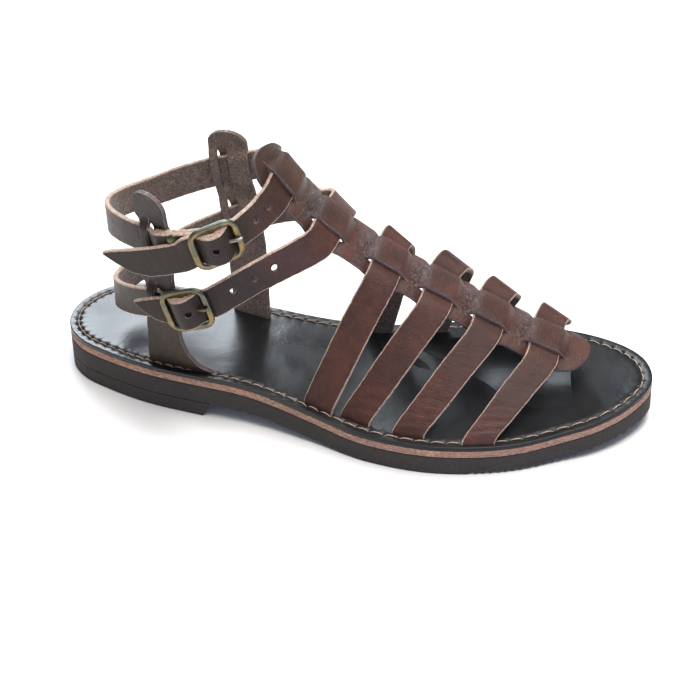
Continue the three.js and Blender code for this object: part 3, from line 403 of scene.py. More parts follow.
def plain_strip(sheet, stations, edges, put, dark, seed, holes):
    """A closed strip. stations are distances, edges hold low and high, and put makes points.
    holes are punched through it: distance and width of each."""
    starts, widths = [], []
    for i, s in enumerate(stations):
        low = nicked(edges[i][0], (s * 0.35, 1.7), (s * 1.3, 4.2), seed, 0.08)
        high = nicked(edges[i][1], (s * 0.35, 9.1), (s * 1.3, 7.7), seed, 0.08)
        rows = section(low, max(high, low + 0.5))
        w, h, _ = np.array(rows).T
        starts.append(sheet.add(put(i, w, h), s, w, h, seed, dark))
        widths.append(w[:STRAP_CELLS + 1])
    size = len(rows)
    mirror = 2 * STRAP_CELLS + 5

    def at(i, w, h):
        return put(i, np.array([w]), np.array([h]))[0]

    gone = set()
    reach = HOLE_DIAMETER / 2
    for s0, w0 in holes:
        near = [(i, k) for i in range(len(stations) - 1) for k in range(STRAP_CELLS)
                if math.hypot((stations[i] + stations[i + 1]) / 2 - s0,
                              (widths[i][k] + widths[i][k + 1]) / 2 - w0) < reach * 0.92]
        gone.update(near)
        for i, k in {(i + a, k + b) for i, k in near for a in (0, 1) for b in (0, 1)}:
            w = widths[i][k]
            ds, dw = stations[i] - s0, w - w0
            far = math.hypot(ds, dw)
            if far < 1e-6 or all((i - a, k - b) in gone for a in (0, 1) for b in (0, 1)):
                continue
            grow = reach / far - 1
            for index, h in ((starts[i] + k, LEATHER / 2), (starts[i] + mirror - k, -LEATHER / 2)):
                along = (at(i + 1, w, h) - at(i - 1, w, h)) / (stations[i + 1] - stations[i - 1])
                aside = (at(i, w + 0.1, h) - at(i, w, h)) / 0.1
                sheet.punch(index, along * ds * grow + aside * dw * grow)
    for i in range(len(stations) - 1):
        a, b = starts[i], starts[i + 1]
        for k in range(size):
            n = (k + 1) % size
            low = (i, mirror - k - 1) in gone and STRAP_CELLS < k < mirror
            if (i, k) not in gone and not low:
                sheet.face((a + k, b + k, b + n, a + n), rows[k][2])
    for i, k in gone:
        for (p, q), beside in (
                (((i, k), (i + 1, k)), (i, k - 1)), (((i, k + 1), (i + 1, k + 1)), (i, k + 1)),
                (((i, k), (i, k + 1)), (i - 1, k)), (((i + 1, k), (i + 1, k + 1)), (i + 1, k))):
            if beside not in gone:
                sheet.face((starts[p[0]] + p[1], starts[q[0]] + q[1],
                            starts[q[0]] + mirror - q[1], starts[p[0]] + mirror - p[1]), EDGE)
    for start in (starts[0], starts[-1]):
        sheet.face(tuple(range(start, start + size)), EDGE)


def slotted_strip(sheet, stations, halves, cuts, bumps, put, dark, seed, wear_and_sheen=None):
    """A strip that parts along two cuts where its bump is above zero: its band rises and its
    margins sink. halves and bumps hold the half width and the bump of each station."""
    tops, bottoms = [], []
    for i, s in enumerate(stations):
        low = nicked(-halves[i], (s * 0.3, 2.7), (s * 1.2, 5.2), seed, 0.07)
        high = nicked(halves[i], (s * 0.3, 8.1), (s * 1.2, 6.7), seed, 0.07)
        a, b = (min(max(cut, low), high) for cut in cuts)
        opened = min(bumps[i] * 4, 1)
        rise, drop = BAND_RISE * bumps[i], -MARGIN_DROP * bumps[i]
        columns = []
        for part, (x0, x1), lift in ((0, (low, a), drop), (1, (a, b), rise), (2, (b, high), drop)):
            span = x1 - x0
            r = min(0.45, span * 0.4)
            inner = [x0, x0 + r * 0.35, x0 + r]
            cell = (span - 2 * r) / (BAND_CELLS + 1)
            inner += [x0 + r + cell * (k + 1) for k in range(BAND_CELLS)]
            inner += [x1 - r, x1 - r * 0.35, x1]
            for n, w in enumerate(inner):
                near_low, near_high = n < 2, n > len(inner) - 3
                outer = (part == 0 and near_low) or (part == 2 and near_high)
                depth = 0.45 if n in (0, len(inner) - 1) else 0.12
                sink = depth * (1 if outer else opened) if near_low or near_high else 0.0
                columns.append((w, lift, sink))
        w, lift, sink = np.array(columns).T
        # Edges take the dye of the strip, made darker as they sink at the slots and along the outer
        # sides: painted shade.
        dye_and_painted_shade = dark + (1 - dark) * np.clip(sink * 3, 0, 1)
        rubbed_and_sheen = wear_and_sheen(i, w) if wear_and_sheen else 0.0
        for side, store in ((1, tops), (-1, bottoms)):
            h = side * (LEATHER / 2 - sink) + lift
            store.append(sheet.add(put(i, w, h), s, w, h, seed, dye_and_painted_shade, rubbed_and_sheen))
    width = len(columns) // 3
    last = len(columns) - 1
    for i in range(len(stations) - 1):
        open_here = bumps[i] > 0 or bumps[i + 1] > 0
        ta, tb, ba, bb = tops[i], tops[i + 1], bottoms[i], bottoms[i + 1]
        for part in range(3):
            low, high = part * width, (part + 1) * width - 1
            for k in range(low, high):
                outer = (part == 0 and k == 0) or (part == 2 and k == last - 1)
                edge = k in (low, high - 1) and (open_here or outer)
                sheet.face((ta + k, tb + k, tb + k + 1, ta + k + 1), EDGE if edge else GRAIN)
                sheet.face((ba + k, ba + k + 1, bb + k + 1, bb + k), EDGE if edge else FLESH)
            if open_here or part == 0:
                sheet.face((ta + low, ba + low, bb + low, tb + low), EDGE)
            if open_here or part == 2:
                sheet.face((ta + high, tb + high, bb + high, ba + high), EDGE)
    for top, bottom in ((tops[0], bottoms[0]), (tops[-1], bottoms[-1])):
        for k in range(last):
            sheet.face((top + k, top + k + 1, bottom + k + 1, bottom + k), EDGE)


# Spine

# Creases near each slot: distance from its middle, size and slant
SPINE_CREASES = [(-9.5, 0.30, 0.10), (-12.2, 0.38, -0.06), (-14.6, 0.28, 0.14), (11.5, 0.18, -0.1)]

spine_curve = Curve([place(*row) for row in SPINE_LINE])
spine_dense = np.array([spine_curve.point(i / 2000) for i in range(2001)])
spine_arcs = arc_lengths(spine_dense)
SPINE_ARC = spine_arcs[-1]
SLOT_PLACES = [float(np.interp(place(along, 0)[0], spine_dense[:, 0], spine_arcs))
               for along in SPINE_SLOTS]


def slot_bump(distance):
    return float(smooth((SLOT_REACH - abs(distance)) / (SLOT_REACH - SLOT_FLAT)))


def spine_frame(run):
    u = float(np.interp(np.clip(run, 0, SPINE_ARC), spine_arcs, np.linspace(0, 1, 2001)))
    centre = spine_curve.point(u)
    tangent = spine_curve.tangent(u)
    across = np.array([0.0, 1.0, 0.0])
    across = unit(across - tangent * tangent[1])
    return centre, tangent, across, np.cross(tangent, across)


def spine_put(run, width, lift):
    """Points on the spine at arrays of width and lift."""
    centre, _, across, normal = spine_frame(run)
    turn = np.atleast_1d(width) / SPINE_CROWN
    lift = np.atleast_1d(lift)
    reach = SPINE_CROWN + lift
    point = centre + np.outer(reach * np.sin(turn), across)
    return point + np.outer(reach * np.cos(turn) - SPINE_CROWN, normal)


def spine_half(run):
    end = min(run, SPINE_ARC - run)
    reach = 8.5 if run < SPINE_ARC / 2 else 12.0
    share = max(1 - end / reach, 0)
    return SPINE_WIDTH / 2 * math.sqrt(max(1 - share**2.2, 0.0004))


def end_stations(length, step, reach):
    """Even stations with closer ones where both ends are round."""
    count = round((length - 2 * reach) / step)
    middle = [reach + (length - 2 * reach) * i / count for i in range(count + 1)]
    fine = [reach * (1 - math.cos(math.pi / 2 * k / 12)) for k in range(12)]
    return fine + middle + [length - f for f in reversed(fine)]


def spine_wrinkle(run, w):
    """Soft creases across the spine, just behind each slot, as in the worn leather."""
    total = np.zeros_like(w)
    for n, slot in enumerate(SLOT_PLACES):
        for k, (offset, size, slant) in enumerate(SPINE_CREASES):
            bend = 0.5 * np.sin(w * 0.5 + n * 1.7 + k)
            d = run - slot - offset - slant * w - bend
            total -= size * np.exp(-(d / 0.55) ** 2) * np.exp(-((w - 1.5 * (k - 1)) / 7.0) ** 2)
            total += size * 0.7 * np.exp(-((d - 1.2) / 0.7) ** 2) * np.exp(-(w / 8.0) ** 2)
    return total


def make_spine(sheet):
    stations = end_stations(SPINE_ARC, SPINE_STEP, 8.0)
    bumps = [max(slot_bump(run - slot) for slot in SLOT_PLACES) for run in stations]

    def put(i, w, h):
        run = stations[i]
        crease = spine_wrinkle(run, w) * (1 - 0.6 * bumps[i])
        turned = np.outer(w * TIP_TURN * float(smooth((13 - run) / 13)), spine_frame(run)[1])
        return spine_put(run, w, h + np.where(h > 0, crease, crease * 0.5)) + turned

    def wear_and_sheen(i, w):
        """Rubbed, crackled places on the heel side of each slot: the crackle is real wear, its pale
        colour painted sheen.
        """
        gaps = [(stations[i] - slot + 11.0) / 4.2 for slot in SLOT_PLACES[1:]]
        total = sum(math.exp(-gap ** 2) for gap in gaps)
        return total * np.exp(-((w + 1.5) / 9.5) ** 4)

    slotted_strip(sheet, stations, [spine_half(run) for run in stations],
                  (-SPINE_BAND / 2, SPINE_BAND / 2), bumps, put, 0.75, 1.0, wear_and_sheen)


# Straps along a curve

def moving_mean(values, span):
    kernel = np.ones(span) / span
    padded = np.pad(values, ((span // 2, span // 2), (0, 0)), mode="edge")
    columns = [np.convolve(padded[:, k], kernel, "valid") for k in range(values.shape[1])]
    return np.stack(columns, axis=1)[:len(values)]


def stations_between(points, step):
    """Even stations along points, as numbers of spans."""
    found = []
    for i, (a, b) in enumerate(zip(points, points[1:])):
        count = max(1, round(float(np.linalg.norm(b - a)) / step))
        found += [i + k / count for k in range(count)]
    return np.array([*found, len(points) - 1.0])


def between(table, stations):
    """Rows of a table mixed at stations between them."""
    i = np.minimum(stations.astype(int), len(table) - 2)
    share = (stations - i)[:, None]
    return table[i] * (1 - share) + table[i + 1] * share


def ribbon(sheet, rows, width, step, square, seed, relief, dark=0.0, smoothing=5, holes=()):
    """rows hold point, aim, low and high. The strap follows a curve through the points.
    holes are points in space, each cut through the strap where it lies nearest past its fold."""
    table = np.array(rows)
    stations = stations_between(table[:, :3], step)
    curve = Curve(table[:, :3])
    shares = np.minimum(stations / (len(rows) - 1), 1)
    centre = np.array([curve.point(t) for t in shares])
    tangents = [curve.tangent(t) for t in shares]
    mixed = between(table, stations)
    aims = moving_mean(np.array([unit(aim) for aim in mixed[:, 3:6]]), smoothing)
    frames = []
    for tangent, aim in zip(tangents, aims):
        aim = unit(aim)
        if square:
            aim = unit(aim - tangent * float(aim @ tangent))
        frames.append((aim, unit(np.cross(aim, tangent))))
    arcs = arc_lengths(centre)

    def put(i, w, h):
        aim, facing = frames[i]
        return centre[i] + np.outer(w, aim) + np.outer(h + relief(arcs[i], w, arcs[-1]), facing)

    places = []
    for target in holes:
        far = np.linalg.norm(centre - target, axis=1) + np.where(arcs > FOLD_END, 0, 1000)
        i = int(np.argmin(far))
        offset = target - centre[i]
        places.append((arcs[i] + float(offset @ tangents[i]), float(offset @ frames[i][0])))
    plain_strip(sheet, arcs, mixed[:, 6:] * width / 2, put, dark, seed, places)


def row(point, aim, low=-1.0, high=1.0):
    return (*point, *aim, low, high)


def foot_points(along, side, sign):
    """Where a strap stands in the insole: aim along the rim, base, a point above and upright."""
    ahead, behind = along + 0.012, along - 0.012
    edge = 0 if sign < 0 else 1
    turn = sole_edges(ahead)[edge] - sole_edges(behind)[edge]
    rise = float(ground(ahead) - ground(behind))
    aim = unit(np.array([(ahead - behind) * SOLE_LENGTH, turn, rise]))
    upright = unit(np.array([-aim[2], 0, 1]))
    base = place(along, side)
    base[2] = float(ground(along)) + INSOLE_BOTTOM
    return aim, base, base + upright * FOOT_HEIGHT, upright


def creases(table, slope=0.0):
    """Soft creases across a strap: distance, size and width of each, in millimetres."""
    def relief(s, w, total):
        out = np.zeros_like(w)
        for at, size, reach in table:
            start = at if at >= 0 else total + at
            d = s - start - slope * w - 0.4 * np.sin(w * 0.7 + at)
            out += size * np.exp(-(d / reach) ** 2)
        return out
    return relief


# Creases above the foot of each strap: distance, size and width
FOOT_CREASES = [
    (6, 0.16, 0.8), (8.2, -0.24, 0.6), (10.6, 0.20, 0.8), (12.8, -0.22, 0.6), (15.6, 0.14, 0.9),
]


def cross_strap(sheet, index):
    slot, outer_foot, inner_foot, shoulder_place, bulge = CROSS_STRAPS[index]
    run = SLOT_PLACES[slot]
    outer_aim, outer_low, outer_high, _ = foot_points(*outer_foot, -1)
    inner_aim, inner_low, inner_high, _ = foot_points(*inner_foot, 1)
    edge = SPINE_WIDTH / 2

    def at(width, lift):
        return spine_put(run, width, lift)[0]

    aim = spine_frame(run)[1]
    outer_edge = at(-edge, STRAP_LIFT + 0.4)
    inner_edge = at(edge, STRAP_LIFT + 0.3)
    shoulder = place(*shoulder_place)
    shoulder[2] = inner_edge[2] - 3.4
    crest = inner_edge * 0.4 + shoulder * 0.6 + np.array([0, 0, 2.6])
    turned = unit(aim + np.array([0, -0.32, 0]))

    def bow(share, size):
        point = outer_high * (1 - share) + outer_edge * share
        return point + np.array([0, -size * bulge, size * bulge * 0.5])

    def down(share):
        point = shoulder * (1 - share) + inner_high * share
        return point + np.array([0, 1.5 * math.sin(math.pi * share), 0])

    def mix(a, b, share):
        return unit(a * (1 - share) + b * share)

    rows = [
        row(outer_low, outer_aim),
        row(outer_high, outer_aim),
        row(bow(0.3, 0.8), mix(outer_aim, aim, 0.3)),
        row(bow(0.65, 1), mix(outer_aim, aim, 0.65)),
        row(outer_edge, mix(outer_aim, aim, 0.95)),
        row(at(-edge / 2, STRAP_LIFT), aim),
        row(at(0, STRAP_LIFT), aim),
        row(at(edge / 2, STRAP_LIFT), aim),
        row(inner_edge, aim),
        row(crest, turned),
        row(shoulder, turned),
        row(down(0.3), mix(aim, inner_aim, 0.5)),
        row(down(0.65), mix(aim, inner_aim, 0.8)),
        row(inner_high, inner_aim),
        row(inner_low, inner_aim),
    ]
    worn = [*FOOT_CREASES, (18.4 + index, -0.16, 0.7), (24 + 3 * index, -0.12, 1.2)]
    ribbon(sheet, rows, CROSS_WIDTH, CROSS_STEP, False, 2.0 + index, creases(worn, 0.15), dark=0.15)


# Stays

def stay(sheet, table, slots, sign, seed):
    _, low, high, upright = foot_points(table[0][0], table[0][1], sign)
    points = [low, high] + [place(*entry[:3]) for entry in table[1:]]
    curve = Curve(points)
    spans = len(points) - 1
    round_start = spans - 0.7
    stations = [s for s in stations_between(points, SPINE_STEP) if s < round_start]
    stations += [round_start + 0.7 * math.sin(math.pi / 2 * k / 14) for k in range(15)]
    stations = np.array(stations)
    mixed = between(np.array([table[0][3:], *[entry[3:] for entry in table]]), stations)
    frames = []
    for station, (width, turn) in zip(stations, mixed):
        centre = curve.point(min(station / spans, 1))
        tangent = curve.tangent(min(station / spans, 1))
        if station <= 1:
            centre = low + (high - low) * station
            tangent = upright
        aim = np.array([math.cos(math.radians(turn)), math.sin(math.radians(turn)), 0])
        close = max(1 - (points[-1][2] - centre[2]) / 6.5, 0)
        half = width * math.sqrt(max(1 - close**2.4, 0.002)) / 2
        bump = max(slot_bump(centre[2] - up * UPPER_HEIGHT) for up in slots)
        frames.append((centre, aim, unit(np.cross(tangent, aim)) * sign, half, bump))
    centres, _, _, halves, bumps = zip(*frames)
    arcs = arc_lengths(centres)

    def put(i, w, h):
        centre, aim, facing = frames[i][:3]
        return centre + np.outer(w, aim) + np.outer(h, facing)

    rear = STAY_REAR_MARGIN - STAY_NECK / 2
    slotted_strip(sheet, arcs, halves, (rear, rear + STAY_BAND), bumps, put, 0.35, seed)


# Ankle straps

def buckle_frame(name):
    along, side, up, heading, rise = BUCKLES[name]
    h, r = math.radians(heading), math.radians(rise)
    ahead = np.array([math.cos(r) * math.cos(h), math.cos(r) * math.sin(h), math.sin(r)])
    out = np.array([math.sin(h), -math.cos(h), 0])
    wide = unit(np.cross(out, ahead))
    return place(along, side, up), ahead, wide, out


def local_rows(name, table):
    origin, ahead, wide, out = buckle_frame(name)
    return [row(origin + ahead * a + out * o, wide) for a, o in table]


def loop_rows(table):
    points = [place(*entry[:3]) for entry in table]
    curve = Curve(points)
    rows = []
    for i, entry in enumerate(table):
        tangent = curve.tangent(i / (len(table) - 1))
        lean, flare = math.radians(entry[3]), math.radians(entry[4])
        aim = np.array([-math.sin(lean), 0, math.cos(lean)])
        out = np.cross([0, 0, 1], tangent)
        out[2] = 0
        aim = unit(aim + unit(out) * math.tan(flare))
        rows.append(row(points[i], aim, *entry[5:]))
    return rows


def ankle_strap(sheet, name, loop, tail, holes, seed, relief):
    rows = [*local_rows(name, FOLD_LINES[name]), *loop_rows(loop),
            *local_rows(name, THREAD_LINE), *loop_rows(tail)]
    origin, ahead, _, out = buckle_frame(name)
    shown = origin + out * 4.6 + ahead * WINDOW_HOLES[name]
    targets = [*[place(*hole) for hole in holes], shown]
    ribbon(sheet, rows, ANKLE_WIDTH, ANKLE_STEP, True, seed, relief, smoothing=3, holes=targets)


# Materials

class Look:
    """One material with short ways to add nodes. Values are outputs or constants."""

    def __init__(self, name):
        self.material = bpy.data.materials.new(name)
        self.material.use_nodes = True
        self.tree = self.material.node_tree
        self.where = self.add("TexCoord", {}, "Object")

    def feed(self, socket, value):
        if isinstance(value, bpy.types.NodeSocket):
            self.tree.links.new(value, socket)
        elif socket.type == "RGBA":
            socket.default_value = (*value, 1)
        else:
            socket.default_value = value

    def add(self, kind, inputs, output):
        made = self.tree.nodes.new(f"ShaderNode{kind}")
        for key, value in inputs.items():
            self.feed(made.inputs[key], value)
        return made.outputs[output]

    def noise(self, scale, detail=4.0, roughness=0.6, distortion=0.0, vector=None):
        return self.add("TexNoise", {
            "Vector": vector or self.where, "Scale": scale, "Detail": detail,
            "Roughness": roughness, "Distortion": distortion}, "Fac")

    def cells(self, scale):
        return self.add("TexVoronoi", {"Vector": self.where, "Scale": scale}, "Distance")

    def stretched(self, vector, scale):
        return self.add("Mapping", {"Vector": vector, "Scale": scale}, "Vector")

    def axis(self, letter, vector=None):
        return self.add("SeparateXYZ", {"Vector": vector or self.where}, letter)

    def grey(self, factor, low, high):
        """Straight line through two pairs of input and output."""
        return self.add("MapRange", {
            "Value": factor, "From Min": low[0], "From Max": high[0],
            "To Min": low[1], "To Max": high[1]}, "Result")

    def attribute(self, name, output):
        made = self.tree.nodes.new("ShaderNodeAttribute")
        made.attribute_name = name
        return made.outputs[output]

    def math(self, operation, a, b):
        made = self.tree.nodes.new("ShaderNodeMath")
        made.operation = operation
        self.feed(made.inputs[0], a)
        self.feed(made.inputs[1], b)
        return made.outputs["Value"]

    def times(self, a, b):
        return self.math("MULTIPLY", a, b)

    def front(self):
        """Runs from 0 at the heel to 1 at the toes."""
        return self.math("ADD", self.times(self.axis("X"), 3.8), 0.5)

    def ramp(self, factor, *stops):
        made = self.tree.nodes.new("ShaderNodeValToRGB")
        elements = made.color_ramp.elements
        for element, (position, color) in zip(elements, (stops[0], stops[-1])):
            element.position = position
            element.color = (*color, 1)
        for position, color in stops[1:-1]:
            elements.new(position).color = (*color, 1)
        self.feed(made.inputs["Fac"], factor)
        return made.outputs["Color"]

    def mix(self, factor, a, b, mode="MIX"):
        made = self.tree.nodes.new("ShaderNodeMix")
        made.data_type = "RGBA"
        made.blend_type = mode
        for socket, value in ((0, factor), (6, a), (7, b)):
            self.feed(made.inputs[socket], value)
        return made.outputs[2]

    def patches(self, amount, color, factor, low, high):
        """Multiplies a colour by darker and lighter patches."""
        return self.mix(amount, color, self.ramp(factor, low, high), "MULTIPLY")

    def finish(self, color, roughness, bumps=(), others=()):
        """bumps hold height, strength and distance in metres. others hold sockets and values."""
        shader = self.tree.nodes["Principled BSDF"]
        sockets = {"Base Color": color, "Roughness": roughness, **dict(others)}
        for height, strength, distance in bumps:
            inputs = {"Height": height, "Strength": strength, "Distance": distance}
            if "Normal" in sockets:
                inputs["Normal"] = sockets["Normal"]
            sockets["Normal"] = self.add("Bump", inputs, "Normal")
        for key, value in sockets.items():
            self.feed(shader.inputs[key], value)
        return self.material


def grain_leather():
    look = Look("strap_grain")
    broad = look.noise(45, 3, 0.55)
    middle = look.noise(260, 5, 0.6, 0.4)
    lay = look.attribute("lay", "Vector")
    lines = look.noise(1.0, 4, 0.65, 0.6, look.stretched(lay, (1.1, 0.16, 0.2)))
    crackle = look.noise(1.0, 5, 0.7, 1.6, look.stretched(lay, (1.5, 0.5, 0.4)))
    wear_and_sheen = look.attribute("wear_and_sheen", "Fac")
    color = look.ramp(
        broad, (0.30, (0.040, 0.0160, 0.0125)), (0.50, (0.060, 0.0210, 0.0150)),
        (0.70, (0.084, 0.0285, 0.0185)))
    olive = look.ramp(
        broad, (0.30, (0.031, 0.0195, 0.0115)), (0.50, (0.042, 0.0262, 0.0150)),
        (0.70, (0.055, 0.0345, 0.0195)))
    color = look.mix(look.grey(look.front(), (0.22, 1.0), (0.52, 0.0)), color, olive)
    # Painted shade: high on the outer side, round the buckles, the leather is mixed towards a darker
    # brown.
    raised = look.math("SUBTRACT", look.times(look.axis("Z"), 9.0), 0.05)
    outer = look.times(look.axis("Y"), -16.0)
    painted_shade_outer_high = look.times(look.grey(raised, (0.42, 0.0), (0.52, 1.0)),
                         look.grey(outer, (0.40, 0.0), (0.52, 1.0)))
    color = look.mix(look.times(painted_shade_outer_high, 0.8), color, (0.021, 0.0130, 0.0098))
    color = look.patches(
        0.75, color, middle, (0.35, (0.66, 0.66, 0.68)), (0.65, (1.18, 1.12, 1.08)))
    color = look.mix(look.grey(lines, (0.60, 0.0), (0.74, 0.35)), color, (0.115, 0.065, 0.052))
    # The crackle is real wear; its pale grey colour is painted sheen on the ridges.
    worn_crackle_and_sheen = look.times(look.grey(crackle, (0.50, 0.0), (0.60, 1.0)), wear_and_sheen)
    color = look.mix(look.times(worn_crackle_and_sheen, 0.8), color, (0.27, 0.235, 0.225))
    rough = look.grey(middle, (0.3, 0.40), (0.7, 0.58))
    return look.finish(
        color, look.math("SUBTRACT", rough, look.times(wear_and_sheen, 0.16)),
        [(look.times(crackle, wear_and_sheen), 1.0, 0.0016), (lines, 0.5, 0.0007), (middle, 0.4, 0.0006),
         (look.cells(1500), 0.5, 0.00025), (look.noise(2600, 3), 0.4, 0.00012)],
        {"Specular IOR Level": 0.28, "Coat Weight": 0.05, "Coat Roughness": 0.26})


def flesh_leather():
    look = Look("strap_flesh")
    fibre = look.noise(620, 8, 0.8, 2.0)
    patch = look.noise(180)
    color = look.ramp(fibre, (0.36, (0.040, 0.026, 0.021)), (0.50, (0.150, 0.104, 0.084)),
                      (0.64, (0.33, 0.245, 0.205)))
    color = look.patches(0.5, color, patch, (0.3, (0.7,) * 3), (0.7, (1.2,) * 3))
    return look.finish(color, 0.95, [(fibre, 0.7, 0.0005), (patch, 0.4, 0.0006)],
                       {"Sheen Weight": 0.25, "Sheen Roughness": 0.5})


def edge_leather():
    look = Look("strap_edge")
    fibre = look.noise(1400, 6, 0.7, 0.8)
    pale = look.ramp(fibre, (0.32, (0.11, 0.066, 0.050)), (0.48, (0.37, 0.262, 0.205)),
                     (0.66, (0.66, 0.51, 0.42)))
    dark = look.ramp(fibre, (0.30, (0.050, 0.034, 0.035)), (0.55, (0.120, 0.088, 0.091)),
                     (0.75, (0.28, 0.225, 0.23)))
    # The dark attribute mixes in the dyed edge colour; where it was raised in holes and at sunk
    # edges, that extra darkness is painted shade.
    color = look.mix(look.attribute("dark", "Fac"), pale, dark)
    color = look.patches(0.5, color, look.noise(220), (0.3, (0.65,) * 3), (0.7, (1.25,) * 3))
    return look.finish(color, 0.8, [(fibre, 0.5, 0.0003)])


def insole_leather():
    look = Look("insole_black")
    broad = look.noise(32, 4, 0.55, 0.3)
    color = look.ramp(broad, (0.3, (0.007, 0.007, 0.008)), (0.7, (0.017, 0.017, 0.0185)))
    return look.finish(
        color, look.grey(broad, (0.3, 0.25), (0.7, 0.37)),
        [(broad, 0.25, 0.002), (look.noise(700, 5), 0.18, 0.0002), (look.cells(1300), 0.15, 0.0001)],
        {"Specular IOR Level": look.grey(look.front(), (0.48, 0.46), (0.66, 0.20))})


def raw_edge():
    look = Look("midsole_edge")
    fibre = look.noise(620, 7, 0.72, 1.0, look.stretched(look.where, (1, 1, 3.2)))
    color = look.ramp(fibre, (0.32, (0.10, 0.053, 0.040)), (0.50, (0.30, 0.175, 0.128)),
                      (0.68, (0.60, 0.40, 0.30)))
    color = look.patches(
        0.6, color, look.noise(90), (0.3, (0.72, 0.68, 0.66)), (0.7, (1.2, 1.12, 1.05)))
    return look.finish(color, 0.9, [(fibre, 0.6, 0.0005)])


def sole_rubber():
    look = Look("sole_rubber")
    grit = look.noise(1100, 6, 0.7)
    patch = look.noise(70)
    color = look.ramp(grit, (0.3, (0.018, 0.0145, 0.0132)), (0.7, (0.042, 0.034, 0.0315)))
    color = look.patches(0.6, color, patch, (0.3, (0.75,) * 3), (0.7, (1.2, 1.14, 1.12)))
    return look.finish(
        color, 0.86, [(patch, 0.2, 0.001), (look.cells(700), 0.3, 0.0002), (grit, 0.4, 0.0002)])


def antique_brass(name, tops, body, gold):
    look = Look(name)
    stain = look.noise(160, 5, 0.62, 0.5)
    up = look.axis("Z", look.add("NewGeometry", {}, "Normal"))
    color = look.mix(look.grey(stain, (0.42, 0.08), (0.60, 0.95)), body, gold)
    # Painted light: faces turned up take the lighter, greyer tops colour; the gold patches from the
    # stain are the metal's own colour.
    color = look.mix(look.times(look.grey(up, (-0.35, 0.0), (0.75, 1.0)), 0.85), color, tops)
    return look.finish(
        color, look.grey(stain, (0.3, 0.26), (0.7, 0.46)),
        [(stain, 0.15, 0.0003), (look.noise(1800), 0.15, 0.0001)], {"Metallic": 1.0})


def thread():
    look = Look("thread")
    twist = look.noise(1700)
    color = look.ramp(twist, (0.3, (0.17, 0.11, 0.08)), (0.7, (0.60, 0.46, 0.36)))
    return look.finish(color, 0.75, [(twist, 0.5, 0.0003)])


STRAP_LOOKS = [grain_leather(), flesh_leather(), edge_leather()]
RUBBER_LOOK = sole_rubber()
# The first colour of each metal is its painted light on faces turned up.
BRASS_LOOK = antique_brass(
    "brass", (0.125, 0.148, 0.125), (0.105, 0.100, 0.070), (0.36, 0.23, 0.075))
PRONG_LOOK = antique_brass(
    "prong_metal", (0.30, 0.29, 0.27), (0.26, 0.24, 0.21), (0.42, 0.36, 0.26))
RIVET_LOOK = antique_brass(
    "rivet_metal", (0.07, 0.085, 0.06), (0.06, 0.065, 0.045), (0.20, 0.17, 0.09))


# Sole

def inward_normals():
    ahead = np.roll(OUTLINE, -1, axis=0) - np.roll(OUTLINE, 1, axis=0)
    normals = np.stack([-ahead[:, 1], ahead[:, 0]], axis=1)
    normals /= np.linalg.norm(normals, axis=1)[:, None]
    middle = OUTLINE.mean(0)
    if float(((middle - OUTLINE[0]) * normals[0]).sum()) < 0:
        normals = -normals
    return normals


RIM_NORMALS = inward_normals()
RIM_STEP = OUTLINE_LENGTH / len(OUTLINE)
MIDDLE_MARGIN = 34


def rim_ring(inset):
    return OUTLINE + RIM_NORMALS * inset


def mid_line(x):
    """Side place of the middle of the sole at a distance along."""
    low, high = sole_edges(min(max(x / SOLE_LENGTH + 0.5, 0.012), 0.988))
    return (low + high) / 2


def shrunk(ring, shares):
    """Rings that shrink from a ring to the middle line."""
    x = np.clip(ring[:, 0], MIDDLE_MARGIN - SOLE_LENGTH / 2, SOLE_LENGTH / 2 - MIDDLE_MARGIN)
    centre = np.stack([x, np.array([mid_line(v) for v in x])], axis=1)
    return [ring * (1 - share) + centre * share for share in shares]


def closing(points, start):
    """Strips of faces across a narrow ring, from its rear point to its front one."""
    count = len(points)
    rear = int(np.argmin(points[:, 0]))
    order = [start + (rear + k) % count for k in range(count)]
    return [tuple(dict.fromkeys((order[k], order[k + 1], order[-k - 1], order[-k])))
            for k in range(count // 2)]


def layer(name, profile, top_relief, bottom_relief, look, fill=(0.25, 0.5, 0.75, 0.995)):
    """A layer of the sole. profile holds rows of inset and height from the top middle round
    the side to the bottom middle. Reliefs give the height of the ground at points."""
    (top_inset, top), (low_inset, low) = profile[0], profile[-1]
    rings = [(ring, top) for ring in shrunk(rim_ring(top_inset), reversed(fill))]
    rings += [(rim_ring(inset), height) for inset, height in profile]
    rings += [(ring, low) for ring in shrunk(rim_ring(low_inset), fill)]
    points = []
    for ring, height in rings:
        relief = top_relief if height > (top + low) / 2 else bottom_relief
        points.append(np.column_stack([ring, height + relief(ring)]))
    count = len(OUTLINE)
    faces = bands(len(points), count) + closing(points[0], 0)
    faces += closing(points[-1], (len(points) - 1) * count)
    return add_object(new_mesh(name, np.vstack(points), faces), [look])


def along_of(ring):
    return ring[:, 0] / SOLE_LENGTH + 0.5


def rough_rim(ring, scale, size, seed):
    return np.array([size * ripple(x * scale, y * scale, seed) for x, y in ring])


def flat(ring):
    return ground(along_of(ring))


def uneven(ring):
    return flat(ring) + rough_rim(ring, 0.8, 0.06, 3.3)


def tread(ring):
    along = along_of(ring)
    turn = (along - TREAD_START) * SOLE_LENGTH / TREAD_PITCH
    share = turn - np.floor(turn)
    tooth = np.where(share < 0.75, share / 0.75, (1 - share) / 0.25)
    near_toe = smooth((0.992 - along) / 0.012)
    return ground(along) + TREAD_DEPTH * tooth * (along > TREAD_START) * near_toe


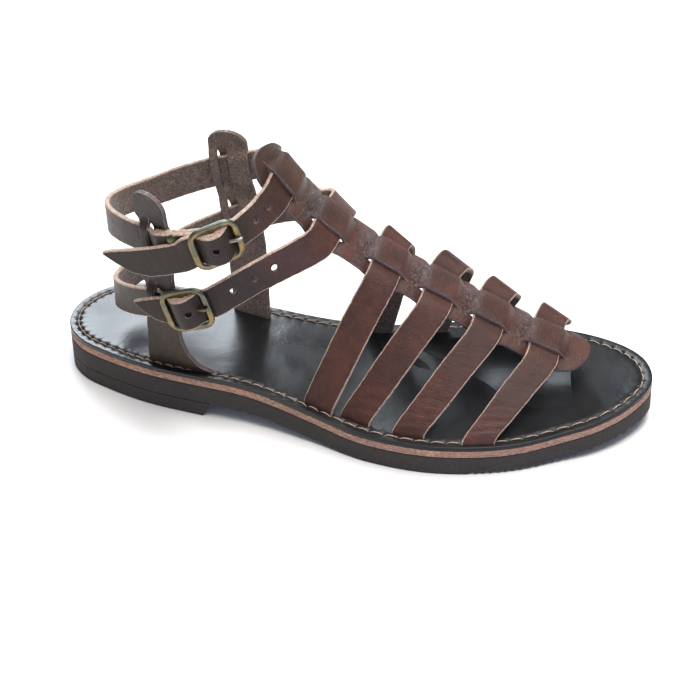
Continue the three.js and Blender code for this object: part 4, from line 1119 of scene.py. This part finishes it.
def make_outsole():
    top = OUTSOLE_TOP
    profile = [(3.0, top), (0.6, top), (0.05, top - 0.25), (0.0, top - 0.8), (0.0, 6.5), (0.0, 4.5),
               (0.0, 2.6), (0.0, 1.2), (0.0, 0.3), (0.35, 0.0), (2.0, 0.0)]
    return layer("outsole_fine", profile, flat, tread, RUBBER_LOOK, fill=(0.2, 0.4, 0.6, 0.8, 0.995))


def make_midsole():
    top, low = MIDSOLE_TOP, MIDSOLE_BOTTOM - 0.25
    profile = [(3.0, top), (0.4, top), (0.05, top - 0.2), (-0.02, top - 0.9),
               (-0.04, (top + low) / 2), (-0.02, low + 0.9), (0.05, low + 0.2),
               (0.4, low), (3.0, low)]
    return layer("midsole_fine", profile, uneven, uneven, raw_edge())


def stitch_places():
    """Distances round the rim of each stitch hole, closer at the heel than at the toes."""
    places, at = [], 2.0
    while at < OUTLINE_LENGTH - 2:
        along = OUTLINE[int(at / RIM_STEP) % len(OUTLINE), 0] / SOLE_LENGTH + 0.5
        places.append(at)
        at += 5.2 + 1.8 * float(smooth((along - 0.35) / 0.3))
    return places


STITCHES = stitch_places()
# Distance of each rim point from the nearest stitch hole
STITCH_GAPS = np.min(np.abs(
    np.arange(len(OUTLINE))[:, None] * RIM_STEP - np.array(STITCHES)[None, :]), axis=1)


def insole_relief(ring, inset):
    """Height of the insole's top: the sunk stitch row and the puckers drawn in by the thread."""
    along = along_of(ring)
    pull = np.exp(-(STITCH_GAPS / 1.1) ** 2)
    row_depth = math.exp(-(inset - STITCH_INSET) ** 2)
    pucker_reach = math.exp(-((inset - STITCH_INSET) / 3.2) ** 2)
    heel = 1 - smooth((along - 0.3) / 0.3)
    sunk = STITCH_SINK * (1 + pull) * row_depth + 0.16 * pull * pucker_reach * (0.5 + heel)
    swell = rough_rim(ring, 0.09, 0.35, 8.8) * min(max(inset - 5, 0) / 12, 1) * 0.6
    return ground(along) - sunk + swell


def make_insole():
    """The insole has its own rings, so that the stitch row can sink round the rim."""
    rows = [(0.02, 1.0), (0.0, 0.55), (0.06, 0.22), (0.25, 0.05)]
    rows += [(inset, 0) for inset in (0.7, 1.4, 2.2, 2.9, 3.3, 3.7, 4.0, 4.3, 4.7, 5.2)]
    inner = rows[-1][0]
    base = rim_ring(0.1)
    points = [np.column_stack([base, flat(base) + INSOLE_BOTTOM - 0.2])]
    for inset, drop in rows:
        ring = rim_ring(inset)
        points.append(np.column_stack([ring, insole_relief(ring, inset) + INSOLE_TOP - drop]))
    shares = (0.025, 0.06, 0.11, 0.18, 0.3, 0.45, 0.6, 0.75, 0.88, 0.995)
    for share, ring in zip(shares, shrunk(rim_ring(inner), shares)):
        height = insole_relief(ring, inner + 40 * share) + INSOLE_TOP
        points.append(np.column_stack([ring, height]))
    count = len(OUTLINE)
    faces = bands(len(points), count) + closing(points[-1], (len(points) - 1) * count)
    faces.append(tuple(range(count)))
    return add_object(new_mesh("insole_fine", np.vstack(points), faces), [insole_leather()])


def make_stitches():
    """Each stitch is a short arched length of thread whose ends dip into its holes."""
    ring = rim_ring(STITCH_INSET)
    points, faces = [], []
    sides, rows = 6, 9

    def spot(distance):
        i = distance / RIM_STEP
        a, b = int(i) % len(ring), (int(i) + 1) % len(ring)
        x, y = ring[a] * (1 - i % 1) + ring[b] * (i % 1)
        return np.array([x, y, float(ground(x / SOLE_LENGTH + 0.5)) + INSOLE_TOP - STITCH_SINK])

    shares = [k / (rows - 1) for k in range(rows)]
    for n, (a, b) in enumerate(zip(STITCHES, STITCHES[1:] + [STITCHES[0] + OUTLINE_LENGTH])):
        if b - a > 9:
            continue
        faces += tube(rows, sides, len(points))
        path = []
        for share in shares:
            point = spot(a + (b - a) * (0.06 + 0.88 * share))
            point[2] += 0.75 * math.sin(math.pi * share) ** 0.6 - 0.45
            path.append(point)
        slant = 0.45 * math.sin(n * 12.9898)
        for k, (share, point) in enumerate(zip(shares, path)):
            ahead = unit(path[min(k + 1, rows - 1)] - path[max(k - 1, 0)])
            across = unit(np.cross([0, 0, 1], ahead))
            up = np.cross(ahead, across)
            centre = point + across * slant * (share - 0.5)
            swell = 0.7 + 0.3 * math.sin(math.pi * share)
            thick = THREAD / 2 * swell * (1 + 0.12 * math.sin(k * 2.4))
            for c in range(sides):
                turn = 2 * math.pi * c / sides + k * 0.5
                points.append(centre + thick * (math.cos(turn) * across + math.sin(turn) * up))
    return add_object(new_mesh("insole_stitches", points, faces), [thread()], merge=False)


def make_heel():
    """Block under the heel: it follows the outline and its front slants forward going up."""
    count = 70
    points = []
    for height, inset in ((HEEL_RISE - 0.05, 0), (HEEL_RISE - 0.5, 0), (4.6, 0), (2.4, 0),
                          (0.35, 0), (0, 0.35)):
        front = HEEL_FRONT - HEEL_SLANT / SOLE_LENGTH * (1 - height / HEEL_RISE)
        outer, inner = [], []
        for i in range(count + 1):
            share = 1 - math.cos(math.pi / 2 * i / count)
            along = (front - inset / SOLE_LENGTH) * share + inset / SOLE_LENGTH * (1 - share)
            low, high = sole_edges(max(along, 1e-5))
            x = (along - 0.5) * SOLE_LENGTH
            outer.append((x, low + inset, height))
            inner.append((x, high - inset, height))
        points += outer[::-1] + inner
    faces = tube(6, 2 * count + 2)
    return add_object(new_mesh("heel_fine", points, faces), [RUBBER_LOOK], smooth=False)


# Buckles

def rounded_loop(x0, x1, y0, y1, radius, segments=8):
    points = []
    corners = ((x1 - radius, y0 + radius, -90), (x1 - radius, y1 - radius, 0),
               (x0 + radius, y1 - radius, 90), (x0 + radius, y0 + radius, 180))
    for cx, cy, start in corners:
        for k in range(segments + 1):
            a = math.radians(start + 90 * k / segments)
            points.append((cx + radius * math.cos(a), cy + radius * math.sin(a)))
    return points


def local_matrix(x_axis, y_axis, z_axis, origin):
    matrix = Matrix.Identity(4)
    for column, axis in enumerate((x_axis, y_axis, z_axis)):
        for k in range(3):
            matrix[k][column] = float(axis[k])
    matrix.translation = Vector(origin) * MM
    return matrix


def make_buckle(name):
    """Rounded plate with two windows, cast with soft edges."""
    bevel = 1.05
    x, y = (size / 2 - bevel + WIRE_ROUND for size in (BUCKLE_LENGTH, BUCKLE_WIDTH))
    inner_x, inner_y = (size / 2 - BAR + bevel - 0.15 for size in (BUCKLE_LENGTH, BUCKLE_WIDTH))
    bar = BAR / 2 - bevel * 0.6
    loops = [rounded_loop(-x, x, -y, y, 4.9),
             rounded_loop(-inner_x, -bar, -inner_y, inner_y, 3.2),
             rounded_loop(bar, inner_x, -inner_y, inner_y, 3.2)]
    curve = bpy.data.curves.new(f"buckle_{name}", "CURVE")
    curve.dimensions = "2D"
    curve.fill_mode = "BOTH"
    curve.extrude = (BAR / 2 - bevel) * MM
    curve.bevel_depth = bevel * MM
    curve.bevel_resolution = 4
    for loop in loops:
        spline = curve.splines.new("POLY")
        spline.points.add(len(loop) - 1)
        for point, (px, py) in zip(spline.points, loop):
            point.co = (px * MM, py * MM, 0, 1)
        spline.use_cyclic_u = True
    holder = bpy.data.objects.new(f"buckle_{name}_curve", curve)
    bpy.context.scene.collection.objects.link(holder)
    bpy.context.view_layer.update()
    evaluated = holder.evaluated_get(bpy.context.evaluated_depsgraph_get())
    mesh = bpy.data.meshes.new_from_object(evaluated)
    bpy.data.objects.remove(holder)
    mesh.name = f"buckle_{name}_frame_fine"
    origin, ahead, wide, out = buckle_frame(name)
    mesh.transform(local_matrix(ahead, wide, out, origin))
    return add_object(mesh, [BRASS_LOOK])


def make_prong(name):
    """A wire eye round the centre bar and an arm that rests on the front bar."""
    eye = BAR / 2 + 0.3 + 0.45
    front = (BUCKLE_LENGTH - BAR) / 2
    rest = BAR / 2 + 0.3 + 0.8
    turns = np.linspace(math.radians(-28), math.radians(-320), 16)
    path = [(eye * math.cos(a), eye * math.sin(a)) for a in turns]
    arm = [(4.2, 1.2), (6.4, 1.7), (front - 1.2, rest), (front + 0.6, rest + 0.1),
           (front + 1.8, rest - 0.1)]
    arm_curve = Curve([(*path[-1], 0), *[(a, o, 0) for a, o in arm]])
    path += [tuple(arm_curve.point(t)[:2]) for t in np.linspace(0.06, 1, 18)]
    total = len(path)
    points = []
    sides = 12
    for k, (a, o) in enumerate(path):
        before, after = path[max(k - 1, 0)], path[min(k + 1, total - 1)]
        ahead = unit(np.array([after[0] - before[0], after[1] - before[1]]))
        arm_share = max((k - 15) / (total - 16), 0)
        wide = 1 - 0.35 * arm_share
        thick = 0.45 + 0.4 * min(arm_share * 6, 1) - 0.72 * max(arm_share - 0.75, 0)
        if k == total - 1:
            wide, thick = wide * 0.45, thick * 0.45
        for c in range(sides):
            turn = 2 * math.pi * c / sides
            lift = thick * math.sin(turn)
            points.append((a - ahead[1] * lift, o + ahead[0] * lift, wide * math.cos(turn)))
    mesh = new_mesh(f"buckle_{name}_prong_fine", points, tube(total, sides))
    origin, ahead, wide_axis, out = buckle_frame(name)
    mesh.transform(local_matrix(ahead, out, -wide_axis, origin))
    return add_object(mesh, [PRONG_LOOK if name == "upper" else BRASS_LOOK])


def make_rivet():
    """Low dome that holds the fold of the upper ankle strap."""
    radius = RIVET_DIAMETER / 2
    profile = [(0.02, 1.15), (0.5 * radius, 1.0), (0.8 * radius, 0.62), (0.97 * radius, 0.2),
               (radius, -0.2), (radius * 0.9, -0.6)]
    sides = 28
    turns = [2 * math.pi * c / sides for c in range(sides)]
    points = [(r * math.cos(turn), r * math.sin(turn), h) for r, h in profile for turn in turns]
    mesh = new_mesh("rivet_upper", points, tube(len(profile), sides))
    _, ahead, _, out = buckle_frame("upper")
    facing = unit(out * 0.6 + np.array([0, -1, 0]) * 0.4)
    along = unit(ahead - facing * float(ahead @ facing))
    mesh.transform(local_matrix(along, np.cross(facing, along), facing, place(*RIVET_PLACE)))
    return add_object(mesh, [RIVET_LOOK])


# Assembly of the leather upper

def strap_piece(name, maker, *sizes):
    sheet = Sheet()
    maker(sheet, *sizes)
    return sheet.build(name)


UPPER_CREASES = creases([(60, 0.05, 2.0)])
LOWER_CREASES = creases([(-60, -0.12, 0.8), (-64, 0.10, 0.9), (-68, -0.10, 0.7)], 0.3)
upper_pieces = [
    strap_piece("spine", make_spine),
    *[strap_piece(f"cross_strap_{n + 1}", cross_strap, n) for n in range(len(CROSS_STRAPS))],
    strap_piece("outer_stay", stay, OUTER_STAY, OUTER_STAY_SLOTS, -1, 7.0),
    strap_piece("inner_stay", stay, INNER_STAY, INNER_STAY_SLOTS, 1, 8.0),
    strap_piece("ankle_strap_upper", ankle_strap, "upper", UPPER_LOOP, UPPER_TAIL, UPPER_HOLES,
                11.0, UPPER_CREASES),
    strap_piece("ankle_strap_lower", ankle_strap, "lower", LOWER_LOOP, LOWER_TAIL, LOWER_HOLES,
                12.0, LOWER_CREASES),
]

bpy.ops.object.select_all(action="DESELECT")
for piece in upper_pieces:
    piece.select_set(True)
bpy.context.view_layer.objects.active = upper_pieces[0]
bpy.ops.object.join()
upper = bpy.context.view_layer.objects.active
upper.name = "upper_fine"

placed = [
    (upper, "upper", "strap_leather"),
    (make_outsole(), "outsole", "sole_rubber"),
    (make_heel(), "heel", "sole_rubber"),
    (make_midsole(), "midsole", "midsole_leather"),
    (make_insole(), "insole", "insole_leather"),
]
for buckle_name in BUCKLES:
    placed.append((make_buckle(buckle_name), f"buckle_{buckle_name}_frame", "buckle_brass"))
    placed.append((make_prong(buckle_name), f"buckle_{buckle_name}_prong", "buckle_brass"))
for obj, node, slot_name in placed:
    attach(obj, "root")
    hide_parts(node)
stitches = make_stitches()
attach(stitches, "root")
rivet = make_rivet()
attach(rivet, "root")


# Floor, light and camera

def area_light(name, location, target, size, power, color):
    light = bpy.data.lights.new(name, "AREA")
    light.shape = "RECTANGLE"
    light.size, light.size_y = size
    light.energy = power
    light.color = color
    obj = bpy.data.objects.new(name, light)
    obj.location = location
    obj.rotation_mode = "QUATERNION"
    obj.rotation_quaternion = (Vector(target) - Vector(location)).to_track_quat("-Z", "Y")
    bpy.context.scene.collection.objects.link(obj)


bpy.ops.mesh.primitive_plane_add(size=6)
floor = bpy.context.object
floor.name = "floor"
floor.data.materials.append(Look("floor_pale").finish(
    (0.88, 0.88, 0.88), 0.9, others={"Specular IOR Level": 0.1}))

world = bpy.data.worlds.new("studio")
world.use_nodes = True
sky = world.node_tree.nodes["Background"]
sky.inputs["Color"].default_value = (0.93, 0.96, 1.0, 1)
sky.inputs["Strength"].default_value = 0.35
bpy.context.scene.world = world

# Lights: place, target, size, power in watts and colour
LIGHTS = {
    "key": ((0.25, -0.30, 1.5), (0, 0, 0.04), (0.8, 0.8), 18, (1.0, 0.96, 0.91)),
    "top": ((0.3, 0.45, 1.5), (0, 0, 0), (1.2, 0.9), 17, (1.0, 0.99, 0.97)),
    "back_left": ((-0.42, 0.62, 0.50), (-0.09, 0, 0.02), (0.46, 0.40), 6.5, (0.84, 0.92, 1.0)),
    "blue_window": (
        (0.50, -0.52, 0.11), (-0.02, -0.02, 0.08), (0.34, 0.14), 1.3, (0.42, 0.55, 1.0)),
}
for name, light_sizes in LIGHTS.items():
    area_light(name, *light_sizes)

CAMERA_PLACE = (0.19740, -0.69244, 0.53156)
CAMERA_RIGHT = (0.96514, 0.26100, -0.01966)
CAMERA_UP = (-0.13531, 0.56183, 0.81611)
CAMERA_BACK = (0.22405, -0.78500, 0.57756)
CAMERA_LENS = 102.86

camera_data = bpy.data.cameras.new("camera")
camera_data.lens = CAMERA_LENS
camera_data.sensor_width = 36
camera = bpy.data.objects.new("camera", camera_data)
turn = Matrix((CAMERA_RIGHT, CAMERA_UP, CAMERA_BACK)).transposed()
camera.matrix_world = Matrix.Translation(CAMERA_PLACE) @ turn.to_4x4()
bpy.context.scene.collection.objects.link(camera)
bpy.context.scene.camera = camera
bpy.context.scene.view_settings.view_transform = "Standard"
